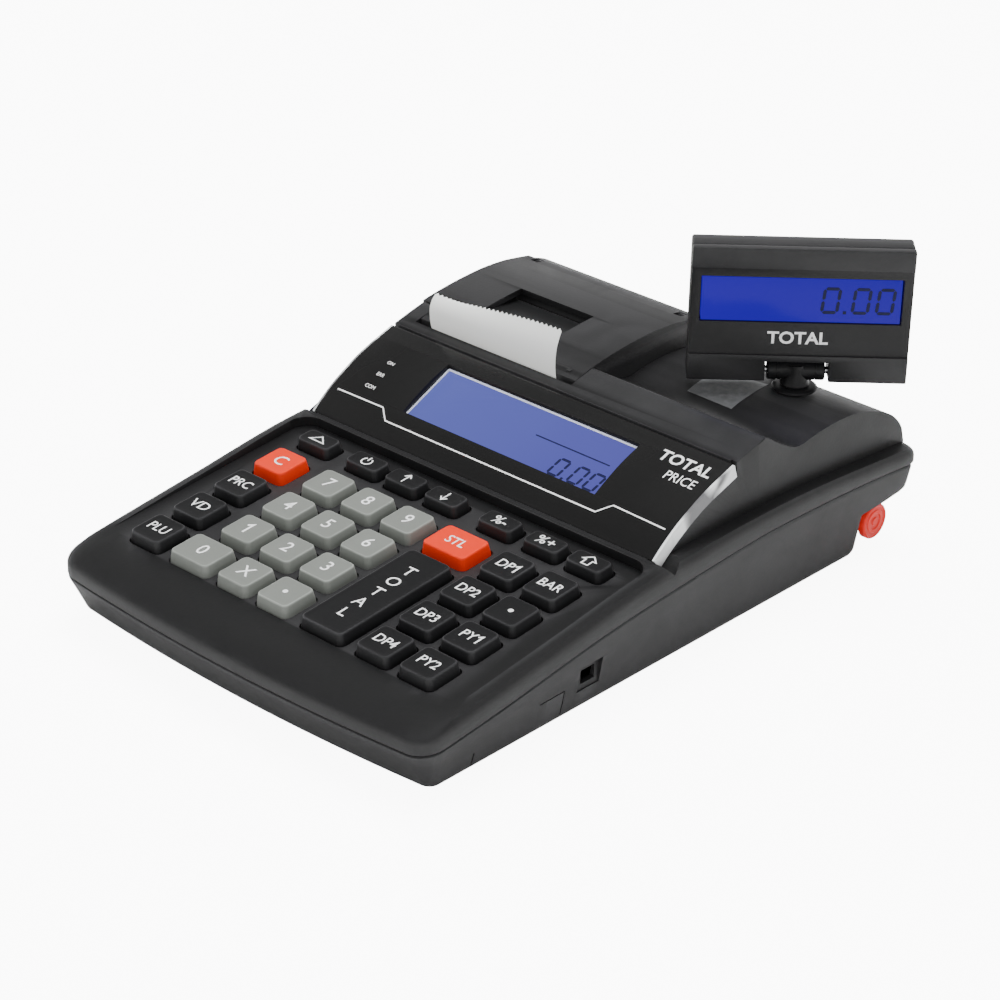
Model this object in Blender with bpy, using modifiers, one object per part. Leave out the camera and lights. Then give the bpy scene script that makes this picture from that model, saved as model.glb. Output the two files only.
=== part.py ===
"""Compact cash register: keyboard, receipt printer and swivelling customer display.

Sizes are in millimetres in the case's own frame: x to the operator's right, y to the
rear, z up from the underside of the case. Each mesh is scaled to metres and moved to
the part's origin, the middle of the footprint on the surface it stands on.
"""
import math

import bmesh
import bpy
from mathutils import Matrix, Vector

# ---- driving dimensions -------------------------------------------------------------
BODY_HALF = 82.2          # half the width at the lip of the top cover
BASE_HALF = 78.0          # half the width at the underside, the walls are drafted
FRONT_Y = -49.5           # foremost point of the bowed front lip
REAR_Y = 196.5            # rear lip
FRONT_BOW = 4.0           # how far the front corners stand back from the middle
CORNER_R = 8.5
BASE_CORNER_R = 3.6          # front corners where the lower shell meets its underside
REAR_R = 6.0
WALL = 2.4
PAD_H = 2.0               # moulded pads under the case
GAP = 0.3                 # clearance between pieces that touch or pass

KEY_PITCH = 18.0
KEY_TOP = 12.7            # edge of a standard key's top face
KEY_SMALL_DEPTH = 7.1
KEY_RISE = 4.0            # key tops above the panel
KEY_TRAVEL = 2.0
KEYPAD_TILT = math.radians(5.41)
KEYPAD_Z = 31.3           # height of the key-top plane at y = 0
KEY_HOLE_CLEARANCE = 0.5
KEY_DEPTH = 7.6           # from the top face to the underside of the flange
BASE_GROWTH = 1.5         # a key is this much wider at the panel than at its top face
ROW_0 = -21.7             # front key row, measured along the keypad
COLUMN_1 = -37.4          # the column of the 1, 4 and 7 keys
COLUMN_E = 20.6
COLUMN_F = 42.2

SECTION_HALF = 76.0       # raised display and printer section
LENS_HALF = 76.2
LENS_T = 2.2
LENS_SKIRT = 5.0
LCD_HALF = 44.0
LCD_Y = (71.0, 95.6)      # window under the lens

LID_X = (-76.6, 2.0)      # printer lid, left and right faces
LID_TONGUE_X = -69.3      # left of this the lid starts further back
LID_FRONT_Y = 108.2
LID_WALL = 2.2
LID_SKIRT_Z = 46.3
LID_PIVOT = (170.6, 60.0)
LID_KNUCKLE_R = 2.2
LID_PIN_R = 1.0
SLOT_Y = 105.8            # front edge of the paper slot

BAY_X = (-73.8, 4.7)      # printer tub, outer faces
BAY_Y = (122.0, 167.9)
BAY_IN_X = (-71.2, 2.2)
BAY_IN_Y = (124.4, 165.6)
BAY_FLOOR = (9.0, 11.4)
BAY_TOP = 44.0
SECTION_LOW = 29.0        # the raised section reaches this far down inside the case
SECTION_REAR = 194.3
SECTION_REAR_IN = 190.6

PLATEN = (113.0, 51.0)
PLATEN_R = 4.2
PLATEN_X = (-60.5, -6.5)
SHAFT_R = 1.5
GEAR_TEETH = 16
GEAR_R = 5.2
GEAR_ROOT = 0.74          # root circle as a share of the outside radius
GEAR_X = (-65.3, -62.3)
DRIVE = (111.6, 41.75)    # axis of the driving gear and its motor, one gear mesh below the platen
MOTOR_R = 4.3
MOTOR_X = (-60.0, -46.0)
MOTOR_SHAFT_R = 0.9
ROLL = (145.0, 33.0)
ROLL_R = 18.5
CORE_R = 6.0
PAPER_X = (-61.9, -4.9)
PAPER_T = 0.16

DISPLAY_AXIS = (50.0, 165.0)
DISPLAY_YAW = math.radians(42.0)
DISPLAY_W = 73.2
DISPLAY_Z = (58.6, 106.2)
DISPLAY_FRONT = 5.5       # faces' distances in front of and behind the swivel axis
DISPLAY_BACK = 6.5
BARREL_Z = 60.8
BARREL_R = 3.5
BARREL_W = 19.3
PIN_R = 1.2
PIN_LENGTH = 29.0
UPPER_BAR = 7.2           # raised bars above and below the bezel's face
LOWER_BAR = 9.4
FACE_DEPTH = 1.0
FOOT_R = 7.8
STEM_R = 4.2
PEG_R = 3.4
CABLE_R = 0.6
CABLE_EXIT = (-10.5, 3.0)  # where the lead leaves the deck, from the swivel axis

DECK_Z = 53.3             # deck surface at the swivel axis

SEAL_CENTRE = (178.5, 8.6)
SEAL_R = 6.4
SEAL_X = (75.2, 78.2)

PAD_X = 66.0
PAD_Y = (-24.0, 156.0)
PAD_R = 6.5

# side lines of the case: (y, z) points
LIP = [(-50, 18.9), (-22, 23.1), (13, 27.9), (49, 33.0), (78, 34.9), (105, 35.9), (140, 35.2),
       (197, 30.9)]
SEAM = [(-50, 13.8), (-14, 17.9), (31, 24.2), (59, 26.9), (99, 29.5), (119, 30.1), (162, 29.0),
        (197, 26.6)]
RIM = [(-31, 24.2), (15, 30.4), (60, 36.4), (105, 37.0), (140, 36.5), (197, 32.6)]
LENS = [(62.4, 37.2), (67.0, 41.0), (72.5, 44.9), (78.5, 48.4), (85.0, 51.6), (92.5, 54.4),
        (100.6, 57.1)]
STRIP = [(101.0, 57.3), (108.4, 59.3), (116.3, 61.2)]
DECK = [(133.5, 52.0), (145, 53.2), (156, 53.8), (167, 52.9), (175, 50.6), (185, 46.2),
        (191, 41.0)]
REAR_EDGE = [(193.6, 36.5), (194.3, 33.0)]
REAR_COVER = [(173.1, 61.2), (180, 58.4), (186, 53.0), (191, 45.0)]
LID_TOP = [(LID_FRONT_Y, 59.2), (116.3, 61.2), (124, 62.5), (134, 63.7), (147, 64.5),
           (158, 64.1), (166, 63.0)]
# rear face of the lower shell: share of its height, y
LOWER_REAR = [(0.0, 170.9), (0.55, 171.4), (0.62, 187.0), (0.68, 194.8), (1.0, 195.6)]

ORIGIN = Vector((0.0, (FRONT_Y + REAR_Y) / 2, -PAD_H))
SCALE = 0.001
NAME = "cash_register"
# shells whose pieces share planes, which the exact solver leaves open
COPLANAR_SHELLS = ("bottom_case", "top_cover", "display_lens")


# ---- scene helpers ------------------------------------------------------------------
def clear_scene():
    for obj in list(bpy.data.objects):
        bpy.data.objects.remove(obj, do_unlink=True)


def new_collection(name):
    col = bpy.data.collections.new(name)
    bpy.context.scene.collection.children.link(col)
    return col


clear_scene()
PARTS = new_collection(NAME)
CUTTERS = new_collection("cutters")
MATERIALS = {}


def material(name, colour, roughness=0.5, metallic=0.0):
    if name not in MATERIALS:
        mat = bpy.data.materials.new(name)
        mat.use_nodes = True
        shader = mat.node_tree.nodes["Principled BSDF"]
        shader.inputs["Base Color"].default_value = (*colour, 1.0)
        shader.inputs["Roughness"].default_value = roughness
        shader.inputs["Metallic"].default_value = metallic
        MATERIALS[name] = mat
    return MATERIALS[name]


CASE = material("case_plastic", (0.035, 0.036, 0.038), 0.55)
DARK = material("dark_plastic", (0.018, 0.018, 0.02), 0.45)
KEY_BLACK = material("key_black", (0.02, 0.02, 0.022), 0.4)
KEY_GREY = material("key_grey", (0.3, 0.31, 0.29), 0.45)
KEY_RED = material("key_red", (0.8, 0.07, 0.02), 0.4)
LENS_BLACK = material("lens_acrylic", (0.015, 0.015, 0.016), 0.08)
LCD_BLUE = material("lcd_blue", (0.04, 0.08, 0.75), 0.2)
STEEL = material("steel", (0.6, 0.6, 0.62), 0.3, 1.0)
RUBBER = material("rubber", (0.03, 0.03, 0.03), 0.9)
PAPER = material("thermal_paper", (0.85, 0.86, 0.85), 0.7)
BOARD = material("board_green", (0.02, 0.15, 0.06), 0.5)
SEAL_RED = material("seal_red", (0.75, 0.03, 0.02), 0.35)
NYLON = material("gear_nylon", (0.75, 0.74, 0.7), 0.5)
BATTERY = material("battery_wrap", (0.03, 0.12, 0.4), 0.4)


def to_world(matrix=None):
    """Case millimetres to part metres, after an optional placing matrix."""
    world = Matrix.Scale(SCALE, 4) @ Matrix.Translation(-ORIGIN)
    return world @ matrix if matrix else world


def add_object(name, bm, mat, pivot=None, matrix=None, col=None):
    """One closed mesh becomes one object, its origin at the pivot (case millimetres)."""
    bm.transform(to_world(matrix))
    bmesh.ops.remove_doubles(bm, verts=bm.verts, dist=1e-7)
    bmesh.ops.recalc_face_normals(bm, faces=bm.faces)
    centre = Vector((0, 0, 0))
    if pivot is not None:
        centre = to_world() @ Vector(pivot)
        bm.transform(Matrix.Translation(-centre))
    mesh = bpy.data.meshes.new(name)
    bm.to_mesh(mesh)
    bm.free()
    if mat:
        mesh.materials.append(mat)
    obj = bpy.data.objects.new(name, mesh)
    obj.location = centre
    (col or PARTS).objects.link(obj)
    if col is CUTTERS:
        obj.hide_render = True
        obj.display_type = "WIRE"
    return obj


def cutter(name, bm):
    """A tool for the Boolean modifiers, kept out of the part itself."""
    return add_object(name, bm, None, col=CUTTERS)


def boolean(obj, tool, operation):
    mod = obj.modifiers.new(operation.lower() + "_" + tool.name, "BOOLEAN")
    mod.object = tool
    mod.operation = operation
    mod.solver = "MANIFOLD" if obj.name in COPLANAR_SHELLS else "EXACT"
    return obj


def cut(obj, *tools):
    for tool in tools:
        boolean(obj, tool, "DIFFERENCE")
    return obj


def fuse(obj, *tools):
    for tool in tools:
        boolean(obj, tool, "UNION")
    return obj


# ---- shape helpers: each gives a bmesh in case millimetres ----------------------------
def box_mesh(x, y, z):
    bm = bmesh.new()
    bmesh.ops.create_cube(bm, size=1.0)
    size = Matrix.Diagonal((x[1] - x[0], y[1] - y[0], z[1] - z[0], 1.0))
    mid = Vector(((x[0] + x[1]) / 2, (y[0] + y[1]) / 2, (z[0] + z[1]) / 2))
    bm.transform(Matrix.Translation(mid) @ size)
    return bm


def rod_mesh(start, end, radius, segments=24, radius_end=None):
    start = Vector(start)
    end = Vector(end)
    bm = bmesh.new()
    bmesh.ops.create_cone(bm, cap_ends=True, segments=segments, radius1=radius,
                          radius2=radius if radius_end is None else radius_end,
                          depth=(end - start).length)
    turn = (end - start).to_track_quat("Z", "Y").to_matrix().to_4x4()
    bm.transform(Matrix.Translation((start + end) / 2) @ turn)
    return bm


def curve_mesh(curve):
    holder = bpy.data.objects.new("outline", curve)
    bpy.context.scene.collection.objects.link(holder)
    graph = bpy.context.evaluated_depsgraph_get()
    mesh = bpy.data.meshes.new_from_object(holder.evaluated_get(graph))
    bm = bmesh.new()
    bm.from_mesh(mesh)
    bpy.data.objects.remove(holder)
    bpy.data.meshes.remove(mesh)
    bmesh.ops.remove_doubles(bm, verts=bm.verts, dist=1e-4)
    return bm


def flat_mesh(outlines, depth, matrix):
    """A flat outline, with holes where outlines nest, thickened along its own z."""
    curve = bpy.data.curves.new("outline", "CURVE")
    curve.dimensions = "2D"
    curve.fill_mode = "BOTH"
    curve.extrude = depth / 2
    for points in outlines:
        spline = curve.splines.new("POLY")
        spline.points.add(len(points) - 1)
        for point, (u, v) in zip(spline.points, points):
            point.co = (u, v, 0.0, 1.0)
        spline.use_cyclic_u = True
    bm = curve_mesh(curve)
    bm.transform(matrix)
    return bm


def across(x):
    """Matrix that lays a (y, z) outline's thickness between two x planes."""
    return Matrix(((0, 0, 1, sum(x) / 2), (1, 0, 0, 0), (0, 1, 0, 0), (0, 0, 0, 1)))


def side_profile(points, x):
    """A (y, z) outline thickened between two x planes."""
    return flat_mesh([points], x[1] - x[0], across(x))


def join_meshes(meshes):
    """Separate closed bodies in one bmesh, for a cutter with many bodies."""
    bm = bmesh.new()
    for part in meshes:
        mesh = bpy.data.meshes.new("part")
        part.to_mesh(mesh)
        part.free()
        bm.from_mesh(mesh)
        bpy.data.meshes.remove(mesh)
    return bm


def curve_at(points, y):
    """Smooth line through (y, z) points."""
    if y <= points[0][0]:
        i = 0
    elif y >= points[-1][0]:
        i = len(points) - 2
    else:
        i = max(k for k in range(len(points) - 1) if points[k][0] <= y)

    def slope(k):
        a = points[max(k - 1, 0)]
        b = points[min(k + 1, len(points) - 1)]
        return (b[1] - a[1]) / (b[0] - a[0])

    (y0, z0), (y1, z1) = points[i], points[i + 1]
    span = y1 - y0
    t = min(max((y - y0) / span, 0.0), 1.0)
    h = 2 * t ** 3 - 3 * t ** 2 + 1
    return (h * z0 + (t ** 3 - 2 * t ** 2 + t) * span * slope(i)
            + (1 - h) * z1 + (t ** 3 - t ** 2) * span * slope(i + 1))


def offset_line(points, distance):
    """The same open line moved towards its lower right side, away from open air."""
    moved = []
    for k, (y, z) in enumerate(points):
        a = points[max(k - 1, 0)]
        b = points[min(k + 1, len(points) - 1)]
        length = math.hypot(b[0] - a[0], b[1] - a[1])
        moved.append((y + distance * (b[1] - a[1]) / length, z - distance * (b[0] - a[0]) / length))
    return moved


def half_outline(half, front, rear, r_front=CORNER_R, r_rear=REAR_R, sides=13):
    """Right half of the case's plan, from the front middle to the rear middle."""
    points = []
    for k in range(5):
        x = (half - r_front) * k / 4
        points.append((x, front + FRONT_BOW * (x / half) ** 2))
    start = points[-1][1] + r_front
    for k in range(1, 5):
        a = math.radians(-90 + 90 * k / 4)
        points.append((half - r_front + r_front * math.cos(a), start + r_front * math.sin(a)))
    for k in range(1, sides + 1):
        points.append((half, start + (rear - r_rear - start) * k / sides))
    for k in range(1, 5):
        a = math.radians(90 * k / 4)
        points.append((half - r_rear + r_rear * math.cos(a), rear - r_rear + r_rear * math.sin(a)))
    points.append((0.0, rear))
    return points


def loft_mesh(rings):
    """Skin through mirrored plan rings, each a list of right-half (x, y, z) points."""
    bm = bmesh.new()
    rows = []
    for ring in rings:
        right = [bm.verts.new(p) for p in ring]
        left = [right[0]] + [bm.verts.new((-x, y, z)) for x, y, z in ring[1:-1]] + [right[-1]]
        rows.append((right, left))
    for (right0, left0), (right1, left1) in zip(rows, rows[1:]):
        for k in range(len(right0) - 1):
            bm.faces.new((right0[k], right0[k + 1], right1[k + 1], right1[k]))
            bm.faces.new((left1[k], left1[k + 1], left0[k + 1], left0[k]))
    for right, left in (rows[0], rows[-1]):
        last = len(right) - 1
        bm.faces.new((right[0], right[1], left[1]))
        for k in range(1, last - 1):
            bm.faces.new((right[k], right[k + 1], left[k + 1], left[k]))
        bm.faces.new((right[last - 1], right[last], left[last - 1]))
    bmesh.ops.triangulate(bm, faces=bm.faces)
    return bm


def ring(half, front, rear, height, r_front=CORNER_R, r_rear=REAR_R):
    return [(x, y, height(y)) for x, y in half_outline(half, front, rear, r_front, r_rear)]


# ---- case shells -----------------------------------------------------------------------
def panel_z(y, above=0.0):
    """Height of the keyboard panel, or of a plane parallel to it."""
    return KEYPAD_Z + (above - KEY_RISE) / math.cos(KEYPAD_TILT) + math.tan(KEYPAD_TILT) * y


def on_keypad():
    return Matrix.Translation((0, 0, KEYPAD_Z)) @ Matrix.Rotation(KEYPAD_TILT, 4, "X")


def bottom_rings(inset, floor):
    """Rings of the lower shell; its rear steps out over a cut-back foot."""
    rings = []
    for share, rear in LOWER_REAR:
        half = BASE_HALF + (BODY_HALF - BASE_HALF) * share - inset
        front = FRONT_Y + 6.7 * (1 - share) + inset

        def height(y, share=share):
            return floor + (curve_at(SEAM, y) - GAP / 2 - floor) * share

        corner = BASE_CORNER_R + (CORNER_R - BASE_CORNER_R) * share
        rings.append(ring(half, front, rear - inset, height, corner - inset, REAR_R - inset))
    return rings


def bottom_case():
    shell = add_object("bottom_case", loft_mesh(bottom_rings(0.0, 0.0)), CASE)
    inner = bottom_rings(WALL, WALL)
    top = [(x, y, z + 5.0) for x, y, z in inner[-1]]
    cut(shell, cutter("bottom_hollow", loft_mesh(inner + [top])))
    for sx in (-1, 1):
        for y in PAD_Y:
            pad = rod_mesh((sx * PAD_X, y, -PAD_H), (sx * PAD_X, y, WALL / 2), PAD_R, 20)
            fuse(shell, cutter("pad_%d_%d" % (sx, y), pad))
    outside = BODY_HALF + 2.0
    cut(shell, cutter("side_recess", box_mesh((BASE_HALF + 0.6, outside), (24.0, 34.4), (7.2, 16.0))),
        cutter("side_socket", box_mesh((BASE_HALF - 3.0, outside), (26.2, 32.6), (9.2, 14.0))))
    return shell


def top_rings():
    return [
        ring(BODY_HALF, FRONT_Y, REAR_Y, lambda y: curve_at(SEAM, y) + GAP / 2),
        ring(BODY_HALF, FRONT_Y, REAR_Y, lambda y: curve_at(LIP, y)),
        ring(BODY_HALF - 1.0, FRONT_Y + 5.0, REAR_Y - 2.4, lambda y: curve_at(LIP, y) + 1.5),
        ring(BODY_HALF - 3.6, FRONT_Y + 18.5, REAR_Y - 7.0, lambda y: curve_at(RIM, y)),
    ]


def top_hollow_rings():
    def under(y):
        return min(curve_at(RIM, y), panel_z(y)) - WALL

    half = BODY_HALF - WALL
    return [
        ring(half, FRONT_Y + WALL, REAR_Y - WALL, lambda y: curve_at(SEAM, y) - 4.0),
        ring(half, FRONT_Y + WALL, REAR_Y - WALL, lambda y: curve_at(LIP, y) - 2.0),
        ring(half - 3.0, FRONT_Y + 16.5, REAR_Y - 9.5, under),
    ]


def key_table():
    """name, x, row, width, depth, colour of every key."""
    cols = {"a": COLUMN_1 - 22.8, "b": COLUMN_1, "c": COLUMN_1 + KEY_PITCH,
            "d": COLUMN_1 + 2 * KEY_PITCH, "e": COLUMN_E, "f": COLUMN_F, "g": COLUMN_F + KEY_PITCH}
    wide = 16.4
    keys = [("key_0", cols["b"] - (wide - KEY_TOP) / 2 - 0.2, 0, wide, KEY_TOP, KEY_GREY),
            ("key_total", cols["e"], 1, 17.1, KEY_TOP + 2 * KEY_PITCH, KEY_BLACK),
            ("key_subtotal", cols["e"] - 0.5, 3, 17.4, KEY_TOP, KEY_RED),
            ("key_clear", cols["a"], 3, KEY_TOP, KEY_TOP, KEY_RED)]
    black = {"a": ("key_plu", "key_void", "key_price"),
             "f": ("key_dept_4", "key_dept_3", "key_dept_2", "key_dept_1"),
             "g": ("key_pay_2", "key_pay_1", "key_dot", "key_bar")}
    grey = {"b": (None, "key_1", "key_4", "key_7"),
            "c": ("key_multiply", "key_2", "key_5", "key_8"),
            "d": ("key_decimal", "key_3", "key_6", "key_9")}
    for columns, colour in ((black, KEY_BLACK), (grey, KEY_GREY)):
        for col, names in columns.items():
            for row, name in enumerate(names):
                if name:
                    keys.append((name, cols[col], row, KEY_TOP, KEY_TOP, colour))
    small = {"key_feed": cols["a"], "key_power": cols["b"], "key_up": cols["c"],
             "key_down": cols["d"], "key_discount": cols["e"] + 2.0,
             "key_surcharge": cols["f"], "key_shift": cols["g"]}
    for name, x in small.items():
        keys.append((name, x, 4, KEY_TOP + 0.8, KEY_SMALL_DEPTH, KEY_BLACK))
    return keys


def row_v(row):
    return ROW_0 + KEY_PITCH * row


def rounded(width, depth, radius, steps=2):
    """Rounded rectangle about the origin, counter-clockwise."""
    points = []
    for quarter, (sx, sy) in enumerate(((1, 1), (-1, 1), (-1, -1), (1, -1))):
        for k in range(steps + 1):
            a = math.radians(90 * quarter + 90 * k / steps)
            points.append((sx * (width / 2 - radius) + radius * math.cos(a),
                           sy * (depth / 2 - radius) + radius * math.sin(a)))
    return points


def key_hole_cutters():
    holes = []
    grow = BASE_GROWTH + 0.2 + 2 * KEY_HOLE_CLEARANCE
    for name, x, row, width, depth, mat in key_table():
        outline = rounded(width + grow, depth + grow, 2.4)
        place = on_keypad() @ Matrix.Translation((x, row_v(row), -6.0))
        holes.append(flat_mesh([outline], 12.0, place))
    return join_meshes(holes)


def raise_section(shell):
    """Arched front of the raised section, the deck beside the lid and the cover behind it."""
    low = SECTION_LOW
    half = SECTION_HALF
    lid_side = LID_X[1] + GAP
    ridge = STRIP[-1][0]
    crown = [(60.9, low), (60.9, 36.4)] + LENS + STRIP + [(ridge, low)]
    deck = [(110.0, low), (110.0, 59.0), (ridge - 0.05, 61.1)] + DECK + REAR_EDGE
    rear = [(REAR_COVER[0][0], low)] + REAR_COVER + REAR_EDGE + [(SECTION_REAR, low)]
    side = box_mesh((-half, -half + WALL), (110.0, 175.0), (low, LID_SKIRT_Z - 2 * GAP))
    fuse(shell, cutter("crown_front", side_profile(crown, (-half, half))),
         cutter("deck", side_profile(deck + [(SECTION_REAR, low)], (lid_side, half))),
         cutter("rear_cover", side_profile(rear, (-half, lid_side + 1.0))),
         cutter("bay_wall", side))


def hollow_section(shell):
    """Room under the shoulder, the lens bed, the deck and the rear cover."""
    low = 20.0
    half = SECTION_HALF
    lid_side = LID_X[1] + GAP
    slot_wall = SLOT_Y - WALL
    bed = offset_line(LENS, LENS_T + GAP + WALL)
    under_strip = STRIP[0][1] - WALL - 0.2
    crown = [(bed[0][0], low)] + bed + [(104.0 - WALL, under_strip), (slot_wall, under_strip + 0.6),
                                        (slot_wall, low)]
    deck = [(slot_wall - 1.0, low), (slot_wall - 1.0, under_strip), (115.0, 58.0)]
    deck += [(y, z - WALL) for y, z in DECK] + [(SECTION_REAR_IN, 33.0), (SECTION_REAR_IN, low)]
    wall_y = BAY_Y[1] + GAP
    rear = [(wall_y, low), (wall_y, 40.9), (175.5, 40.9), (175.5, 57.6), (180.0, 55.2), (185.0, 50.5),
            (189.0, 43.0), (SECTION_REAR_IN, 35.0), (SECTION_REAR_IN, low)]
    cut(shell, cutter("case_hollow", loft_mesh(top_hollow_rings())),
        cutter("crown_hollow", side_profile(crown, (-half + 5.0, half - 5.0))),
        cutter("deck_hollow", side_profile(deck, (lid_side + WALL, half - WALL))),
        cutter("rear_hollow", side_profile(rear, (-half + WALL, lid_side - WALL))))


def printer_bay(shell):
    """Tub for the paper roll, open to the slot in front and closed above by the lid."""
    lid_side = LID_X[1] + GAP
    skirt = LID_SKIRT_Z - 2 * GAP
    fuse(shell, cutter("tub", box_mesh(BAY_X, BAY_Y, (BAY_FLOOR[0], BAY_TOP))),
         cutter("tub_ledge", box_mesh(BAY_X, (BAY_Y[1] - 1.9, 175.6), (41.0, BAY_TOP))))
    mouth = box_mesh((LID_TONGUE_X - GAP, lid_side), (SLOT_Y, BAY_Y[0] - GAP), (25.0, 80.0))
    gate = box_mesh((PAPER_X[0] - 1.5, PAPER_X[1] + 1.5), (121.0, 125.0), (35.0, 60.0))
    over = box_mesh((-90.0, lid_side), (STRIP[-1][0] + 0.1, REAR_COVER[0][0] - 0.05), (skirt, 80.0))
    cut(shell, cutter("tub_hollow", box_mesh(BAY_IN_X, BAY_IN_Y, (BAY_FLOOR[1], 80.0))),
        cutter("lid_mouth", mouth), cutter("paper_gate", gate), cutter("lid_space", over))


def lens_seat(shell):
    """Pocket for the lens and its two flanks, and the window over the operator's panel."""
    face = offset_line(LENS, LENS_T + GAP)
    flank = offset_line(LENS, LENS_SKIRT + GAP)
    stop = (face[-1][0] + 0.6, face[-1][1] + 6.0)
    above = [(y - 30.0, z + 30.0) for y, z in (LENS[-1], LENS[0])]
    cut(shell, cutter("lens_pocket", side_profile(face + [stop] + above, (-90.0, 90.0))))
    for sx in (-1, 1):
        xs = sorted((sx * (LENS_HALF - LENS_T - GAP), sx * 90.0))
        cut(shell, cutter("flank_pocket_%d" % (sx + 1), side_profile(flank + [stop] + above, xs)))
    cut(shell, cutter("lcd_window", box_mesh((-LCD_HALF, LCD_HALF), LCD_Y, (38.0, 70.0))))


def keyboard_openings(shell):
    """Sunken panel that runs out at the front, with one hole for each key."""
    half = BODY_HALF - 4.7
    rear = 60.6
    outline = [(-half, -80.0), (half, -80.0), (half, rear - 7.6), (half - 2.3, rear - 2.0),
               (half - 8.0, rear), (-half + 8.0, rear), (-half + 2.3, rear - 2.0),
               (-half, rear - 7.6)]
    deep = 20.0
    panel = flat_mesh([outline], deep, on_keypad() @ Matrix.Translation((0, 0, deep / 2 - KEY_RISE)))
    cut(shell, cutter("keyboard_recess", panel), cutter("key_holes", key_hole_cutters()))


def hinge_ears(shell):
    """Two ears behind the bay that carry the lid's pin."""
    y, z = LID_PIVOT
    arm = [(y, z - 4.0), (174.0, z - 6.0), (174.0, z + 0.4), (y, z + LID_KNUCKLE_R - 0.2), (y - 2.0, z)]
    for k, x in enumerate(((-72.0, -69.2), (-5.4, -2.6))):
        fuse(shell, cutter("ear_%d" % k, side_profile(arm, x)))
    bore = rod_mesh((-74.0, y, z), (0.0, y, z), LID_PIN_R + GAP, 16)
    cut(shell, cutter("hinge_bore", bore))


def display_seat(shell):
    """Round seat and hole for the display's foot, and the hole its lead comes out of."""
    x, y = DISPLAY_AXIS
    seat = rod_mesh((x, y, DECK_Z + 0.6), (x, y, DECK_Z + 6.0), FOOT_R + GAP, 28)
    lead = (x + CABLE_EXIT[0], y + CABLE_EXIT[1])
    cut(shell, cutter("peg_hole", rod_mesh((x, y, 40.0), (x, y, 70.0), PEG_R + GAP, 20)),
        cutter("foot_seat", seat), cutter("cable_hole", rod_mesh((*lead, 45.0), (*lead, 60.0), 1.3, 12)))


def top_cover():
    shell = add_object("top_cover", loft_mesh(top_rings()), CASE)
    raise_section(shell)
    hollow_section(shell)
    printer_bay(shell)
    lens_seat(shell)
    keyboard_openings(shell)
    hinge_ears(shell)
    display_seat(shell)
    return shell


# ---- operator side ------------------------------------------------------------------------
def display_lens():
    inner = offset_line(LENS, LENS_T)
    panel = side_profile(LENS + inner[::-1], (-LENS_HALF, LENS_HALF))
    lens = add_object("display_lens", panel, LENS_BLACK)
    for sx in (-1, 1):
        xs = sorted((sx * (LENS_HALF - LENS_T), sx * LENS_HALF))
        flank = side_profile(offset_line(LENS, 0.4) + offset_line(LENS, LENS_SKIRT)[::-1], xs)
        fuse(lens, cutter("lens_flank_%d" % (sx + 1), flank))
    return lens


def operator_lcd():
    """Display module, set back under the window and tilted with the lens."""
    mid = Vector((0.0, sum(LCD_Y) / 2 + 4.0, 42.5))
    place = Matrix.Translation(mid) @ Matrix.Rotation(math.radians(25.0), 4, "X")
    return add_object("operator_lcd", box_mesh((-46.0, 46.0), (-13.5, 13.5), (-1.8, 1.8)), LCD_BLUE,
                      matrix=place)


def key_cap(name, x, row, width, depth, mat):
    flange = -KEY_DEPTH + 1.0
    # height, growth over the top face, corner radius
    levels = ((-KEY_DEPTH, 3.6, 1.6), (flange, 3.6, 1.6), (flange, BASE_GROWTH + 0.2, 2.0),
              (-KEY_RISE, BASE_GROWTH, 2.0), (-0.7, 0.5, 1.9), (0.0, -0.6, 1.5))
    bm = bmesh.new()
    rows = []
    for height, grow, radius in levels:
        outline = rounded(width + grow, depth + grow, radius)
        rows.append([bm.verts.new((u, v, height)) for u, v in outline])
    for lower, upper in zip(rows, rows[1:]):
        for k in range(len(lower)):
            j = (k + 1) % len(lower)
            bm.faces.new((lower[k], lower[j], upper[j], upper[k]))
    bm.faces.new(rows[0][::-1])
    bm.faces.new(rows[-1])
    place = on_keypad() @ Matrix.Translation((x, row_v(row), 0.0))
    return add_object(name, bm, mat, pivot=place @ Vector((0, 0, 0)), matrix=place)


def key_mat():
    """Rubber sheet with a dome under each key, drawn at the pressed height."""
    top = -KEY_DEPTH - KEY_TRAVEL - 0.4
    place = on_keypad()
    middle = Matrix.Translation((0, 14.5, top - 1.6))
    sheet = flat_mesh([rounded(148.0, 92.0, 4.0)], 1.2, place @ middle)
    mat = add_object("key_mat", sheet, RUBBER)
    domes = []
    for name, x, row, width, depth, colour in key_table():
        low = place @ Vector((x, row_v(row), top - 1.5))
        high = place @ Vector((x, row_v(row), top))
        domes.append(rod_mesh(low, high, 2.6, 8, 1.8))
    fuse(mat, cutter("domes", join_meshes(domes)))
    return mat


# ---- printer ------------------------------------------------------------------------------
def arc(centre, radius, start, end, steps):
    points = []
    for k in range(steps + 1):
        a = math.radians(start + (end - start) * k / steps)
        points.append((centre[0] + radius * math.cos(a), centre[1] + radius * math.sin(a)))
    return points


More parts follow.
